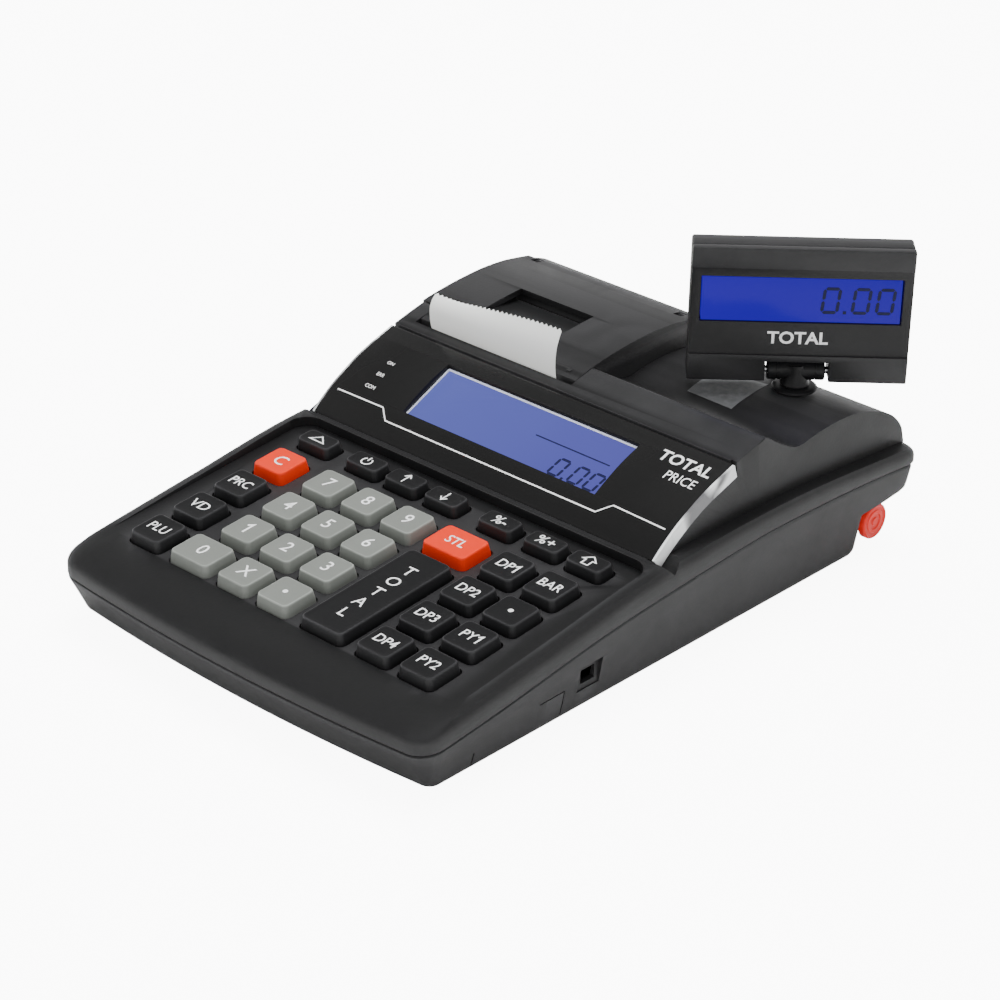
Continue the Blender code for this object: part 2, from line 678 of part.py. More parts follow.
def printer_lid():
    """Arched cover, hinged at the rear, that carries the platen on two arms."""
    y, z = LID_PIVOT
    front = LID_FRONT_Y
    tongue = 117.0
    back = arc(LID_PIVOT, LID_KNUCKLE_R, 90, 0, 4)
    outline = [(front, 55.8)] + LID_TOP + back
    outline += [(y + 1.8, z - 2.0), (y + 1.8, LID_SKIRT_Z), (tongue, LID_SKIRT_Z), (tongue, 55.8)]
    lid = add_object("printer_lid", side_profile(outline, LID_X), CASE, pivot=(sum(LID_X) / 2, y, z))
    # the left front edge follows the arc that it swings through
    reach = y - (tongue - GAP)
    corner = [(y - reach * math.cos(math.radians(a)), z - reach * math.sin(math.radians(a)))
              for a in (0, 4, 8, 12, 16)]
    corner += [(corner[-1][0], 30.0), (100.0, 30.0), (100.0, 80.0), (corner[0][0], 80.0)]
    inner_x = (LID_X[0] + LID_WALL, LID_X[1] - LID_WALL)
    skin = [(line_y, line_z - LID_WALL) for line_y, line_z in LID_TOP[1:]]
    inside = [(front + 2.0, 30.0), (front + 2.0, LID_TOP[0][1] - LID_WALL)] + skin
    inside += [(167.4, 60.5), (167.4, 30.0)]
    scoop = [(143.0, 60.4), (143.0, 70.0), (122.0, 70.0), (122.0, 62.25), (126.0, 61.6)]
    floor = [(120.0, 61.0), (126.0, 61.8), (143.0, 60.6), (145.2, 62.8), (145.2, 58.6), (143.0, 58.4),
             (126.0, 59.6), (120.0, 59.6)]
    cut(lid, cutter("lid_hollow", side_profile(inside, inner_x)),
        cutter("lid_behind", box_mesh(inner_x, (160.0, 180.0), (30.0, z - 2.3))),
        cutter("lid_corner", side_profile(corner, (-90.0, LID_TONGUE_X))))
    fuse(lid, cutter("scoop_floor", side_profile(floor, (-56.4, -18.6))))
    cut(lid, cutter("finger_scoop", side_profile(scoop, (-54.2, -20.8))))
    for k, x in enumerate(((-72.3, -68.9), (-5.7, -2.3))):
        cut(lid, cutter("ear_notch_%d" % k, box_mesh(x, (y - 3.0, 180.0), (30.0, 80.0))))
    cut(lid, cutter("lid_bore", rod_mesh((-74.0, y, z), (-0.4, y, z), LID_PIN_R + GAP, 16)))
    for k, x in enumerate(((-68.2, -66.6), (-4.4, -2.8))):
        fuse(lid, cutter("arm_%d" % k, box_mesh(x, (110.6, 116.4), (47.6, 60.4))))
    cut(lid, cutter("shaft_bore", rod_mesh((-70.0, *PLATEN), (-2.0, *PLATEN), SHAFT_R + GAP, 16)))
    return lid


def hinge_pin():
    bm = rod_mesh((-72.8, *LID_PIVOT), (-1.8, *LID_PIVOT), LID_PIN_R, 12)
    return add_object("lid_hinge_pin", bm, STEEL)


def platen_roller():
    """Rubber-covered roller with its own journals."""
    roller = add_object("platen_roller",
                        rod_mesh((PLATEN_X[0], *PLATEN), (PLATEN_X[1], *PLATEN), PLATEN_R, 28),
                        RUBBER, pivot=(sum(PLATEN_X) / 2, *PLATEN))
    return fuse(roller, cutter("journals", rod_mesh((-68.6, *PLATEN), (-2.4, *PLATEN), SHAFT_R, 16)))


def gear(name, centre, bore_r, tooth_angle):
    """Spur gear with the middle of one tooth at the stated angle in radians."""
    outline = []
    # share of one tooth pitch from a tooth's middle, share of the outside radius
    flanks = ((-0.275, GEAR_ROOT), (-0.1, 1.0), (0.1, 1.0), (0.275, GEAR_ROOT))
    for k in range(GEAR_TEETH):
        for share, radius in flanks:
            a = tooth_angle + 2 * math.pi * (k + share) / GEAR_TEETH
            outline.append((centre[0] + GEAR_R * radius * math.cos(a),
                            centre[1] + GEAR_R * radius * math.sin(a)))
    bm = flat_mesh([outline, arc(centre, bore_r, 0, 330, 11)], GEAR_X[1] - GEAR_X[0], across(GEAR_X))
    return add_object(name, bm, NYLON, pivot=(sum(GEAR_X) / 2, *centre))


def gear_pair():
    """The platen's gear and the motor's gear below it, a tooth of one in a gap of the other."""
    towards = math.atan2(DRIVE[1] - PLATEN[1], DRIVE[0] - PLATEN[0])
    half_pitch = math.pi / GEAR_TEETH
    gear("platen_gear", PLATEN, SHAFT_R + GAP / 2, towards)
    gear("drive_gear", DRIVE, MOTOR_SHAFT_R + GAP / 2, towards + math.pi + half_pitch)


def paper_motor():
    body = add_object("paper_motor", rod_mesh((MOTOR_X[0], *DRIVE), (MOTOR_X[1], *DRIVE), MOTOR_R, 24),
                      STEEL)
    shaft = rod_mesh((GEAR_X[0] - GAP, *DRIVE), (MOTOR_X[0] + 1.0, *DRIVE), MOTOR_SHAFT_R, 12)
    return fuse(body, cutter("motor_shaft", shaft))


def print_head():
    """Heating strip that the paper is pressed against, in front of the platen."""
    direction = math.radians(205.0)
    thick = 1.4
    reach = PLATEN_R + 2 * GAP + thick / 2
    place = Matrix.Translation((0.0, PLATEN[0] + reach * math.cos(direction),
                                PLATEN[1] + reach * math.sin(direction)))
    place = place @ Matrix.Rotation(direction - math.pi / 2, 4, "X")
    return add_object("print_head", box_mesh(PAPER_X, (-1.5, 2.6), (-thick / 2, thick / 2)), STEEL,
                      matrix=place)


def printer_frame():
    """Pressed plate under the mechanism with an upright at each end."""
    span = (SLOT_Y + 0.5, BAY_Y[0] - 1.0)
    low, top = 31.2, 45.6
    sheet = 2.4
    base = add_object("printer_frame", box_mesh((-69.2, -0.8), span, (low, low + sheet)), STEEL)
    return fuse(base, cutter("frame_left", box_mesh((-69.2, -67.6), span, (low + 1.8, top))),
                cutter("frame_right", box_mesh((-2.2, -0.8), span, (low + 1.8, top))))


def paper_roll():
    outlines = [arc(ROLL, ROLL_R, 0, 350, 35), arc(ROLL, CORE_R, 0, 345, 23)]
    bm = flat_mesh(outlines, PAPER_X[1] - PAPER_X[0], across(PAPER_X))
    return add_object("paper_roll", bm, PAPER, pivot=(sum(PAPER_X) / 2, *ROLL))


def receipt_paper():
    """One strip from the roll, round the platen, out of the slot and curling over."""
    line = [(ROLL[0] - ROLL_R - 0.4, 36.0), (121.5, 42.6), (117.0, 45.2)]
    line += arc(PLATEN, PLATEN_R + GAP, -80, -168, 6)
    line += [(107.4, 54.5), (106.6, 58.0), (105.7, 62.0), (105.4, 65.5), (105.9, 68.6), (107.2, 71.0),
             (108.8, 72.6)]
    strip = side_profile(line + offset_line(line, -PAPER_T)[::-1], PAPER_X)
    return add_object("receipt_paper", strip, PAPER)


def tear_bar():
    """Serrated strip in the front edge of the slot."""
    teeth = 24
    thick = 0.5
    low, root, tip = 52.0, 57.4, 58.2
    x0, x1 = LID_TONGUE_X + 2.0, -1.0
    outline = [(x1, low), (x0, low)]
    step = (x1 - x0) / teeth
    for k in range(teeth):
        outline += [(x0 + step * k, root), (x0 + step * (k + 0.5), tip)]
    outline.append((x1, root))
    place = Matrix(((1, 0, 0, 0), (0, 0, -1, SLOT_Y + GAP), (0, 1, 0, 0), (0, 0, 0, 1)))
    return add_object("tear_bar", flat_mesh([outline], thick, place), STEEL)


# ---- electronics ---------------------------------------------------------------------------
def main_board():
    """Circuit board on the floor of the case with its tallest components."""
    middle, thick = 7.0, 1.6
    bm = flat_mesh([rounded(140.0, 96.0, 3.0)], thick, Matrix.Translation((0.0, 14.0, middle)))
    board = add_object("main_board", bm, BOARD)
    face = middle + thick / 2
    for k, (x, y, tall) in enumerate((((-40, -20), (-8, 10), 2.4), ((8, 34), (16, 34), 3.0),
                                      ((-60, -44), (30, 52), 5.0))):
        fuse(board, cutter("chip_%d" % k, box_mesh(x, y, (face - 0.4, face + tall))))
    return board


def battery_pack():
    pack = add_object("battery_pack", box_mesh((12.0, 68.0), (84.0, 122.0), (3.0, 21.0)), BATTERY)
    bevel = pack.modifiers.new("round", "BEVEL")
    bevel.width = 3.0 * SCALE
    bevel.segments = 2
    return pack


def rear_ports():
    """Connector block behind the cut-back rear wall, with three sockets facing the rear."""
    low, top = 1.2, 9.4
    block = add_object("rear_ports", box_mesh((14.0, 60.0), (172.0, 178.0), (low, top)), DARK)
    for k, x in enumerate(((17.0, 25.0), (29.0, 41.0), (45.0, 57.0))):
        cut(block, cutter("socket_%d" % k, box_mesh(x, (174.0, 179.0), (low + 1.0, low + 5.0))))
    return block


def red_seal():
    """Round seal with a raised ring, on a lug behind the rear wall."""
    y, z = SEAL_CENTRE
    inner, outer = SEAL_X
    seal = add_object("red_seal", rod_mesh((inner, y, z), (outer, y, z), SEAL_R, 28), SEAL_RED)
    circles = [arc((y, z), radius, 0, 345, 23) for radius in (4.6, 3.6)]
    groove = flat_mesh(circles, 1.2, across((outer - 0.6, outer + 0.6)))
    cut(seal, cutter("seal_ring", groove))
    stem = rod_mesh((inner + 0.4, y, z), (inner - 2.2, y, z), 2.4, 12)
    lug = box_mesh((inner - 2.8, inner - 0.6), (172.0, y + 2.4), (z - 2.4, z + 2.4))
    fuse(seal, cutter("seal_stem", stem), cutter("seal_lug", lug))
    return seal


# ---- customer display ----------------------------------------------------------------------
def display_frame():
    """Display axes: x across its face, y away from the viewer, z up, at the swivel axis."""
    return Matrix.Translation((*DISPLAY_AXIS, 0.0)) @ Matrix.Rotation(DISPLAY_YAW, 4, "Z")


def display_foot():
    """Round foot on the deck; its peg goes down through the cover."""
    x, y = DISPLAY_AXIS
    disc = rod_mesh((x, y, DECK_Z + 0.9), (x, y, DECK_Z + 2.0), FOOT_R, 28, FOOT_R - 1.0)
    foot = add_object("display_foot", disc, DARK)
    return fuse(foot, cutter("foot_peg", rod_mesh((x, y, DECK_Z - 6.6), (x, y, DECK_Z + 1.5), PEG_R, 16)))


def across_display(length, radius, segments):
    """Rod along the tilt axis, centred on the swivel axis."""
    bm = rod_mesh((-length / 2, 0, BARREL_Z), (length / 2, 0, BARREL_Z), radius, segments)
    bm.transform(display_frame())
    return bm


def display_stem():
    x, y = DISPLAY_AXIS
    post = rod_mesh((x, y, DECK_Z + 2.4), (x, y, BARREL_Z), STEM_R + 0.5, 20, STEM_R - 0.4)
    stem = add_object("display_stem", post, DARK, pivot=(x, y, BARREL_Z))
    fuse(stem, cutter("barrel", across_display(BARREL_W, BARREL_R, 24)))
    return cut(stem, cutter("barrel_bore", across_display(2 * BARREL_W, PIN_R + GAP, 16)))


def display_pin():
    return add_object("display_hinge_pin", across_display(PIN_LENGTH, PIN_R, 12), STEEL,
                      pivot=(*DISPLAY_AXIS, BARREL_Z))


def display_box(x, y, z):
    bm = box_mesh(x, y, z)
    bm.transform(display_frame())
    return bm


def customer_display():
    """Rear shell, front bezel and panel; the bezel's window shows the panel."""
    half = DISPLAY_W / 2
    low, high = DISPLAY_Z
    front_y = -DISPLAY_FRONT
    split = front_y + 3.5
    pivot = (*DISPLAY_AXIS, BARREL_Z)
    notch_half = BARREL_W / 2 + 1.0
    notch = cutter("notch", display_box((-notch_half, notch_half), (-20.0, 20.0),
                                        (low - 5.0, BARREL_Z + BARREL_R + 1.4)))
    rear = add_object("customer_display_rear",
                      display_box((-half, half), (split + GAP / 2, DISPLAY_BACK), (low, high)),
                      CASE, pivot=pivot)
    pocket = display_box((-half + 3, half - 3), (split - 2, DISPLAY_BACK - 2), (low + 12.0, high - 4))
    cut(rear, cutter("display_pocket", pocket), notch,
        cutter("display_bore", across_display(PIN_LENGTH + 1.0, PIN_R + GAP, 16)))
    front = add_object("customer_display_front",
                       display_box((-half, half), (front_y, split - GAP / 2), (low, high)),
                       CASE, pivot=pivot)
    face = display_box((-half - 1, half + 1), (-20.0, front_y + FACE_DEPTH),
                       (low + LOWER_BAR, high - UPPER_BAR))
    window = display_box((-33.4, 33.4), (-20.0, 20.0), (low + 21.0, high - 10.5))
    cut(front, notch, cutter("bezel_face", face), cutter("window", window))
    glass = display_box((-32.9, 32.9), (front_y + 1.7, split + 3.0), (low + 21.5, high - 11.0))
    add_object("customer_lcd", glass, LCD_BLUE, pivot=pivot)
    return rear, front


def display_cable():
    """Thin lead from the deck to the stem, held at both ends."""
    x, y = DISPLAY_AXIS
    z = DECK_Z
    route = [(x + CABLE_EXIT[0], y + CABLE_EXIT[1], z - 3.0), (x - 11.2, y + 2.2, z + 1.1),
             (x - 11.0, y + 0.2, z + 2.6), (x - 9.2, y - 1.8, z + 3.0), (x - 6.8, y - 2.0, z + 2.9)]
    curve = bpy.data.curves.new("display_cable", "CURVE")
    curve.dimensions = "3D"
    curve.bevel_depth = CABLE_R
    curve.bevel_resolution = 1
    curve.use_fill_caps = True
    spline = curve.splines.new("POLY")
    points = smooth_route(route, 4)
    spline.points.add(len(points) - 1)
    for point, place in zip(spline.points, points):
        point.co = (*place, 1.0)
    return add_object("display_cable", curve_mesh(curve), RUBBER)


def smooth_route(points, steps):
    """Points on a smooth curve through the route's own points."""
    out = []
    for k in range(len(points) - 1):
        a, b, c, d = (Vector(points[min(max(k + i, 0), len(points) - 1)]) for i in (-1, 0, 1, 2))
        for s in range(steps):
            t = s / steps
            out.append(0.5 * ((2 * b) + (c - a) * t + (2 * a - 5 * b + 4 * c - d) * t * t
                              + (3 * b - a - 3 * c + d) * t ** 3))
    out.append(Vector(points[-1]))
    return out


# ---- build ---------------------------------------------------------------------------------
def build():
    bottom_case()
    top_cover()
    display_lens()
    operator_lcd()
    for spec in key_table():
        key_cap(*spec)
    key_mat()
    printer_lid()
    hinge_pin()
    platen_roller()
    gear_pair()
    paper_motor()
    print_head()
    printer_frame()
    paper_roll()
    receipt_paper()
    tear_bar()
    main_board()
    battery_pack()
    rear_ports()
    red_seal()
    display_foot()
    display_stem()
    display_pin()
    customer_display()
    display_cable()


build()
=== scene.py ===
import math

import bmesh
import bpy
from mathutils import Matrix, Vector


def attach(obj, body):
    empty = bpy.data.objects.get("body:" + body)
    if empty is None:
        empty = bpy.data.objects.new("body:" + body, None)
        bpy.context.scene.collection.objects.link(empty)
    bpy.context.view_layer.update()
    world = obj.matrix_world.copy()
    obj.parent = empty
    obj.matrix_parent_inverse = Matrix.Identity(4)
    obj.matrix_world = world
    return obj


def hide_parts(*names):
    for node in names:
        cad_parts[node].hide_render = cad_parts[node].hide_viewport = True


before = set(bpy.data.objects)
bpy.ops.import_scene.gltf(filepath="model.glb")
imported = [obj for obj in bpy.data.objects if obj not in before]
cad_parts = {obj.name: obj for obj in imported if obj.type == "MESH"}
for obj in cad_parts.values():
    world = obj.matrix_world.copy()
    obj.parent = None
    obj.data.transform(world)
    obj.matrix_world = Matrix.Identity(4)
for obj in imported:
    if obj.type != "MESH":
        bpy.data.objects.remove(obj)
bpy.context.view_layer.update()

# Shapes are drawn in millimetres in the case's own frame, x right, y rear, z up from its
# underside, and placed in metres on the surface the register stands on.
PLACE = Matrix.Scale(0.001, 4) @ Matrix.Translation((0.0, -73.5, 2.0))

BODY_HALF = 82.2
BASE_HALF = 78.0
FRONT_Y = -49.5
REAR_Y = 196.5
FRONT_BOW = 4.0
CORNER_R = 8.5
BASE_CORNER_R = 3.6
REAR_R = 6.0
WALL = 2.4
GAP = 0.3
SECTION_HALF = 76.0
LENS_HALF = 76.2
LENS_T = 2.2
LENS_SKIRT = 5.0
LCD_Y = (71.0, 95.6)
LID_X = (-76.6, 2.0)
LID_TONGUE_X = -69.3
LID_FRONT_Y = 108.2
LID_WALL = 2.2
LID_LIP_Y = LID_FRONT_Y + 2.0      # inner face of the front lip
LID_LIP_Z = 57.0                   # where that face meets the underside
CAMERA_ANGLES = (42.21, 27.41, 1.33)   # azimuth, elevation and roll in degrees
CAMERA_LENS = 108.94
LID_PIVOT = (170.6, 60.0)
LID_SKIRT_Z = 46.3
SLOT_Y = 105.8
PLATEN = (113.0, 51.0)
ROLL = (145.0, 33.0)
ROLL_R = 18.5
PAPER_X = (-61.9, -4.9)
BAY_X = (-73.8, 4.7)
BAY_Y = (122.0, 167.9)

KEY_PITCH = 18.0
KEY_TOP = 12.7
KEY_RISE = 4.0
ROW_0 = -21.7
KEYPAD_TILT = math.radians(5.41)
KEYPAD_Z = 31.3

DISPLAY_AXIS = (50.0, 165.0)
DISPLAY_YAW = math.radians(42.0)
DISPLAY_HALF = 36.6
DISPLAY_Z = (58.6, 106.2)
BARREL_Z = 60.8
DECK_Z = 53.3

LIP = [(-50, 18.9), (-22, 23.1), (13, 27.9), (49, 33.0), (78, 34.9), (105, 35.9), (140, 35.2),
       (197, 30.9)]
SEAM = [(-50, 13.8), (-14, 17.9), (31, 24.2), (59, 26.9), (99, 29.5), (119, 30.1), (162, 29.0),
        (197, 26.6)]
RIM = [(-31, 24.2), (15, 30.4), (60, 36.4), (105, 37.0), (140, 36.5), (197, 32.6)]
LENS = [(62.4, 37.2), (67.0, 41.0), (72.5, 44.9), (78.5, 48.4), (85.0, 51.6), (92.5, 54.4),
        (100.6, 57.1)]
STRIP = [(101.0, 57.3), (108.4, 59.3), (116.3, 61.2)]
DECK = [(118.6, 60.0), (125.0, 55.9), (133.5, 52.0), (145, 53.2), (156, 53.8), (167, 52.9), (175, 50.6),
        (185, 46.2), (191, 41.0), (193.6, 36.5), (194.3, 33.0)]
REAR_COVER = [(173.1, 61.2), (180, 58.4), (186, 53.0), (191, 45.0), (193.6, 36.5), (194.3, 33.0)]
LID_TOP = [(LID_FRONT_Y, 59.2), (116.3, 61.2), (124, 62.5), (134, 63.7), (147, 64.5), (158, 64.1),
           (166, 63.0)]


# ---- drawing helpers -----------------------------------------------------------------------
def curve_at(points, y):
    """Height of the smooth line through (y, z) points."""
    if y <= points[0][0]:
        i = 0
    elif y >= points[-1][0]:
        i = len(points) - 2
    else:
        i = max(k for k in range(len(points) - 1) if points[k][0] <= y)

    def slope(k):
        a = points[max(k - 1, 0)]
        b = points[min(k + 1, len(points) - 1)]
        return (b[1] - a[1]) / (b[0] - a[0])

    (y0, z0), (y1, z1) = points[i], points[i + 1]
    span = y1 - y0
    t = min(max((y - y0) / span, 0.0), 1.0)
    h = 2 * t ** 3 - 3 * t ** 2 + 1
    return (h * z0 + (t ** 3 - 2 * t ** 2 + t) * span * slope(i)
            + (1 - h) * z1 + (t ** 3 - t ** 2) * span * slope(i + 1))


def fine(points, step=1.5):
    """The smooth line through (y, z) points, in short steps."""
    count = max(2, round((points[-1][0] - points[0][0]) / step))
    ys = [points[0][0] + (points[-1][0] - points[0][0]) * k / count for k in range(count + 1)]
    return [(y, curve_at(points, y)) for y in ys]


def through(points, steps=5):
    """Points on a smooth curve through points of any dimension."""
    out = []
    last = len(points) - 1
    for k in range(last):
        a, b, c, d = (Vector(points[min(max(k + i, 0), last)]) for i in (-1, 0, 1, 2))
        for s in range(steps):
            t = s / steps
            out.append(0.5 * ((2 * b) + (c - a) * t + (2 * a - 5 * b + 4 * c - d) * t * t
                              + (3 * b - a - 3 * c + d) * t ** 3))
    out.append(Vector(points[-1]))
    return out


def lowered(points, distance):
    """The same open line moved to its lower side."""
    moved = []
    for k, (y, z) in enumerate(points):
        a = points[max(k - 1, 0)]
        b = points[min(k + 1, len(points) - 1)]
        length = math.hypot(b[0] - a[0], b[1] - a[1])
        moved.append((y + distance * (b[1] - a[1]) / length, z - distance * (b[0] - a[0]) / length))
    return moved


def arc(centre, radius, start, end, steps):
    points = []
    for k in range(steps + 1):
        a = math.radians(start + (end - start) * k / steps)
        points.append((centre[0] + radius * math.cos(a), centre[1] + radius * math.sin(a)))
    return points


def rounded(width, depth, radius, steps=5):
    """Rounded rectangle about the origin, counter-clockwise."""
    points = []
    for quarter, (sx, sy) in enumerate(((1, 1), (-1, 1), (-1, -1), (1, -1))):
        for k in range(steps + 1):
            a = math.radians(90 * quarter + 90 * k / steps)
            points.append((sx * (width / 2 - radius) + radius * math.cos(a),
                           sy * (depth / 2 - radius) + radius * math.sin(a)))
    return points


def across(x):
    return Matrix(((0, 0, 1, sum(x) / 2), (1, 0, 0, 0), (0, 1, 0, 0), (0, 0, 0, 1)))


def from_curve(curve):
    holder = bpy.data.objects.new("outline", curve)
    bpy.context.scene.collection.objects.link(holder)
    graph = bpy.context.evaluated_depsgraph_get()
    mesh = bpy.data.meshes.new_from_object(holder.evaluated_get(graph))
    bm = bmesh.new()
    bm.from_mesh(mesh)
    bpy.data.objects.remove(holder)
    bpy.data.meshes.remove(mesh)
    bmesh.ops.remove_doubles(bm, verts=bm.verts, dist=1e-4)
    return bm


def slab(outlines, depth, matrix=None):
    """Flat outline, with holes where outlines nest, thickened along its own z."""
    curve = bpy.data.curves.new("outline", "CURVE")
    curve.dimensions = "2D"
    curve.fill_mode = "BOTH"
    curve.extrude = depth / 2
    for points in outlines:
        spline = curve.splines.new("POLY")
        spline.points.add(len(points) - 1)
        for point, (u, v) in zip(spline.points, points):
            point.co = (u, v, 0.0, 1.0)
        spline.use_cyclic_u = True
    bm = from_curve(curve)
    if matrix:
        bm.transform(matrix)
    return bm


def profile(points, x):
    return slab([points], x[1] - x[0], across(x))


def block(x, y, z):
    bm = bmesh.new()
    bmesh.ops.create_cube(bm, size=1.0)
    size = Matrix.Diagonal((x[1] - x[0], y[1] - y[0], z[1] - z[0], 1.0))
    mid = Vector(((x[0] + x[1]) / 2, (y[0] + y[1]) / 2, (z[0] + z[1]) / 2))
    bm.transform(Matrix.Translation(mid) @ size)
    return bm


def turned(start, end, outline, segments=48):
    """Turned piece from (distance along, radius) points between two centres."""
    axis = Vector(end) - Vector(start)
    turn = axis.to_track_quat("Z", "Y").to_matrix().to_4x4()
    bm = bmesh.new()
    rows = []
    for along, radius in outline:
        row = []
        for k in range(segments):
            a = 2 * math.pi * k / segments
            row.append(bm.verts.new((radius * math.cos(a), radius * math.sin(a), along)))
        rows.append(row)
    for low, high in zip(rows, rows[1:]):
        for k in range(segments):
            j = (k + 1) % segments
            bm.faces.new((low[k], low[j], high[j], high[k]))
    bm.faces.new(rows[0][::-1])
    bm.faces.new(rows[-1])
    bm.transform(Matrix.Translation(Vector(start)) @ turn)
    return bm


def rod(start, end, radius, chamfer=0.15, segments=48):
    length = (Vector(end) - Vector(start)).length
    return turned(start, end, [(0.0, radius - chamfer), (chamfer, radius),
                               (length - chamfer, radius), (length, radius - chamfer)], segments)


def joined(meshes):
    bm = bmesh.new()
    for part in meshes:
        mesh = bpy.data.meshes.new("part")
        part.to_mesh(mesh)
        part.free()
        bm.from_mesh(mesh)
        bpy.data.meshes.remove(mesh)
    return bm


def work(name, bm):
    """A mesh in millimetres on a working object, before it is finished as a piece."""
    bmesh.ops.recalc_face_normals(bm, faces=bm.faces)
    mesh = bpy.data.meshes.new(name)
    bm.to_mesh(mesh)
    bm.free()
    obj = bpy.data.objects.new(name, mesh)
    bpy.context.scene.collection.objects.link(obj)
    return obj


def settle(obj):
    """Turns the object's modifiers into plain mesh."""
    graph = bpy.context.evaluated_depsgraph_get()
    mesh = bpy.data.meshes.new_from_object(obj.evaluated_get(graph))
    old = obj.data
    obj.modifiers.clear()
    obj.data = mesh
    bpy.data.meshes.remove(old)
    return obj


def combine(obj, bm, operation, solver="EXACT"):
    tool = work("tool", bm)
    mod = obj.modifiers.new("shape", "BOOLEAN")
    mod.object = tool
    mod.operation = operation
    mod.solver = solver
    settle(obj)
    bpy.data.objects.remove(tool)
    return obj


def cut(obj, *tools, solver="EXACT"):
    for bm in tools:
        combine(obj, bm, "DIFFERENCE", solver)
    return obj


def add(obj, *tools, solver="EXACT"):
    for bm in tools:
        combine(obj, bm, "UNION", solver)
    return obj


def soften(obj, width, segments=2, angle=32.0):
    """Rounded edges on a working object."""
    mod = obj.modifiers.new("round", "BEVEL")
    mod.width = width
    mod.segments = segments
    mod.limit_method = "ANGLE"
    mod.angle_limit = math.radians(angle)
    mod.use_clamp_overlap = True
    return settle(obj)


def soft_block(x, y, z, width=0.5, segments=2):
    obj = work("soft", block(x, y, z))
    soften(obj, width, segments)
    bm = bmesh.new()
    bm.from_mesh(obj.data)
    bpy.data.objects.remove(obj)
    return bm


def finish_piece(obj, name, mats, body, stands_for=(), matrix=None, sharp=35.0):
    """Millimetres to metres in place; names the piece and ties it to its body."""
    obj.name = name
    obj.data.name = name
    mesh = obj.data
    mesh.transform(PLACE @ matrix if matrix else PLACE)
    mesh.materials.clear()
    for mat in (mats if isinstance(mats, (list, tuple)) else [mats]):
        mesh.materials.append(mat)
    mesh.shade_smooth()
    mesh.set_sharp_from_angle(angle=math.radians(sharp))
    mesh.update()
    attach(obj, body)
    if stands_for:
        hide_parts(*stands_for)
    return obj


def make(name, bm, mats, body, stands_for=(), matrix=None, sharp=35.0):
    return finish_piece(work(name, bm), name, mats, body, stands_for, matrix, sharp)


def build_row():
    """Rows of equal turned pieces, such as screw heads and grip pips."""
    tree = bpy.data.node_groups.new("row of turned pieces", "GeometryNodeTree")
    tree.interface.new_socket(name="Row", in_out="OUTPUT", socket_type="NodeSocketGeometry")
    for label, kind in (("Count", "Int"), ("Pitch", "Float"), ("Sides", "Int"), ("Foot radius", "Float"),
                        ("Top radius", "Float"), ("Height", "Float"), ("Finish", "Material")):
        tree.interface.new_socket(name=label, in_out="INPUT", socket_type="NodeSocket" + kind)
    inp, out = tree.nodes.new("NodeGroupInput"), tree.nodes.new("NodeGroupOutput")
    line = tree.nodes.new("GeometryNodeMeshLine")
    step = tree.nodes.new("ShaderNodeCombineXYZ")
    piece = tree.nodes.new("GeometryNodeMeshCone")
    place = tree.nodes.new("GeometryNodeInstanceOnPoints")
    real = tree.nodes.new("GeometryNodeRealizeInstances")
    finish = tree.nodes.new("GeometryNodeSetMaterial")
    links = ((inp.outputs["Count"], line.inputs["Count"]), (inp.outputs["Pitch"], step.inputs["X"]),
             (step.outputs["Vector"], line.inputs["Offset"]),
             (inp.outputs["Sides"], piece.inputs["Vertices"]),
             (inp.outputs["Foot radius"], piece.inputs["Radius Bottom"]),
             (inp.outputs["Top radius"], piece.inputs["Radius Top"]),
             (inp.outputs["Height"], piece.inputs["Depth"]), (line.outputs["Mesh"], place.inputs["Points"]),
             (piece.outputs["Mesh"], place.inputs["Instance"]),
             (place.outputs["Instances"], real.inputs["Geometry"]),
             (real.outputs["Geometry"], finish.inputs["Geometry"]),
             (inp.outputs["Finish"], finish.inputs["Material"]),
             (finish.outputs["Geometry"], out.inputs["Row"]))
    for a, b in links:
        tree.links.new(a, b)
    return tree


ROW = build_row()


def row_of(finish, **sizes):
    """One row from the tree, as a plain mesh in millimetres along x from the origin."""
    host = work("row", bmesh.new())
    mod = host.modifiers.new("row", "NODES")
    mod.node_group = ROW
    given = dict(sizes, Finish=finish)
    for item in ROW.interface.items_tree:
        if item.in_out == "INPUT":
            mod[item.identifier] = given[item.name.replace(" ", "_")]
    settle(host)
    bm = bmesh.new()
    bm.from_mesh(host.data)
    bpy.data.objects.remove(host)
    return bm


# ---- finishes --------------------------------------------------------------------------------
def new_group(name, inputs, outputs):
    tree = bpy.data.node_groups.new(name, "ShaderNodeTree")
    for label, value in inputs.items():
        socket = tree.interface.new_socket(name=label, in_out="INPUT", socket_type="NodeSocketFloat")
        socket.default_value = value
    for label in outputs:
        tree.interface.new_socket(name=label, in_out="OUTPUT", socket_type="NodeSocketFloat")
    return tree, tree.nodes.new("NodeGroupInput"), tree.nodes.new("NodeGroupOutput")


def math_node(tree, operation, a, b=None):
    node = tree.nodes.new("ShaderNodeMath")
    node.operation = operation
    for k, value in enumerate((a, b)):
        if value is None:
            continue
        if isinstance(value, (int, float)):
            node.inputs[k].default_value = value
        else:
            tree.links.new(value, node.inputs[k])
    return node.outputs[0]


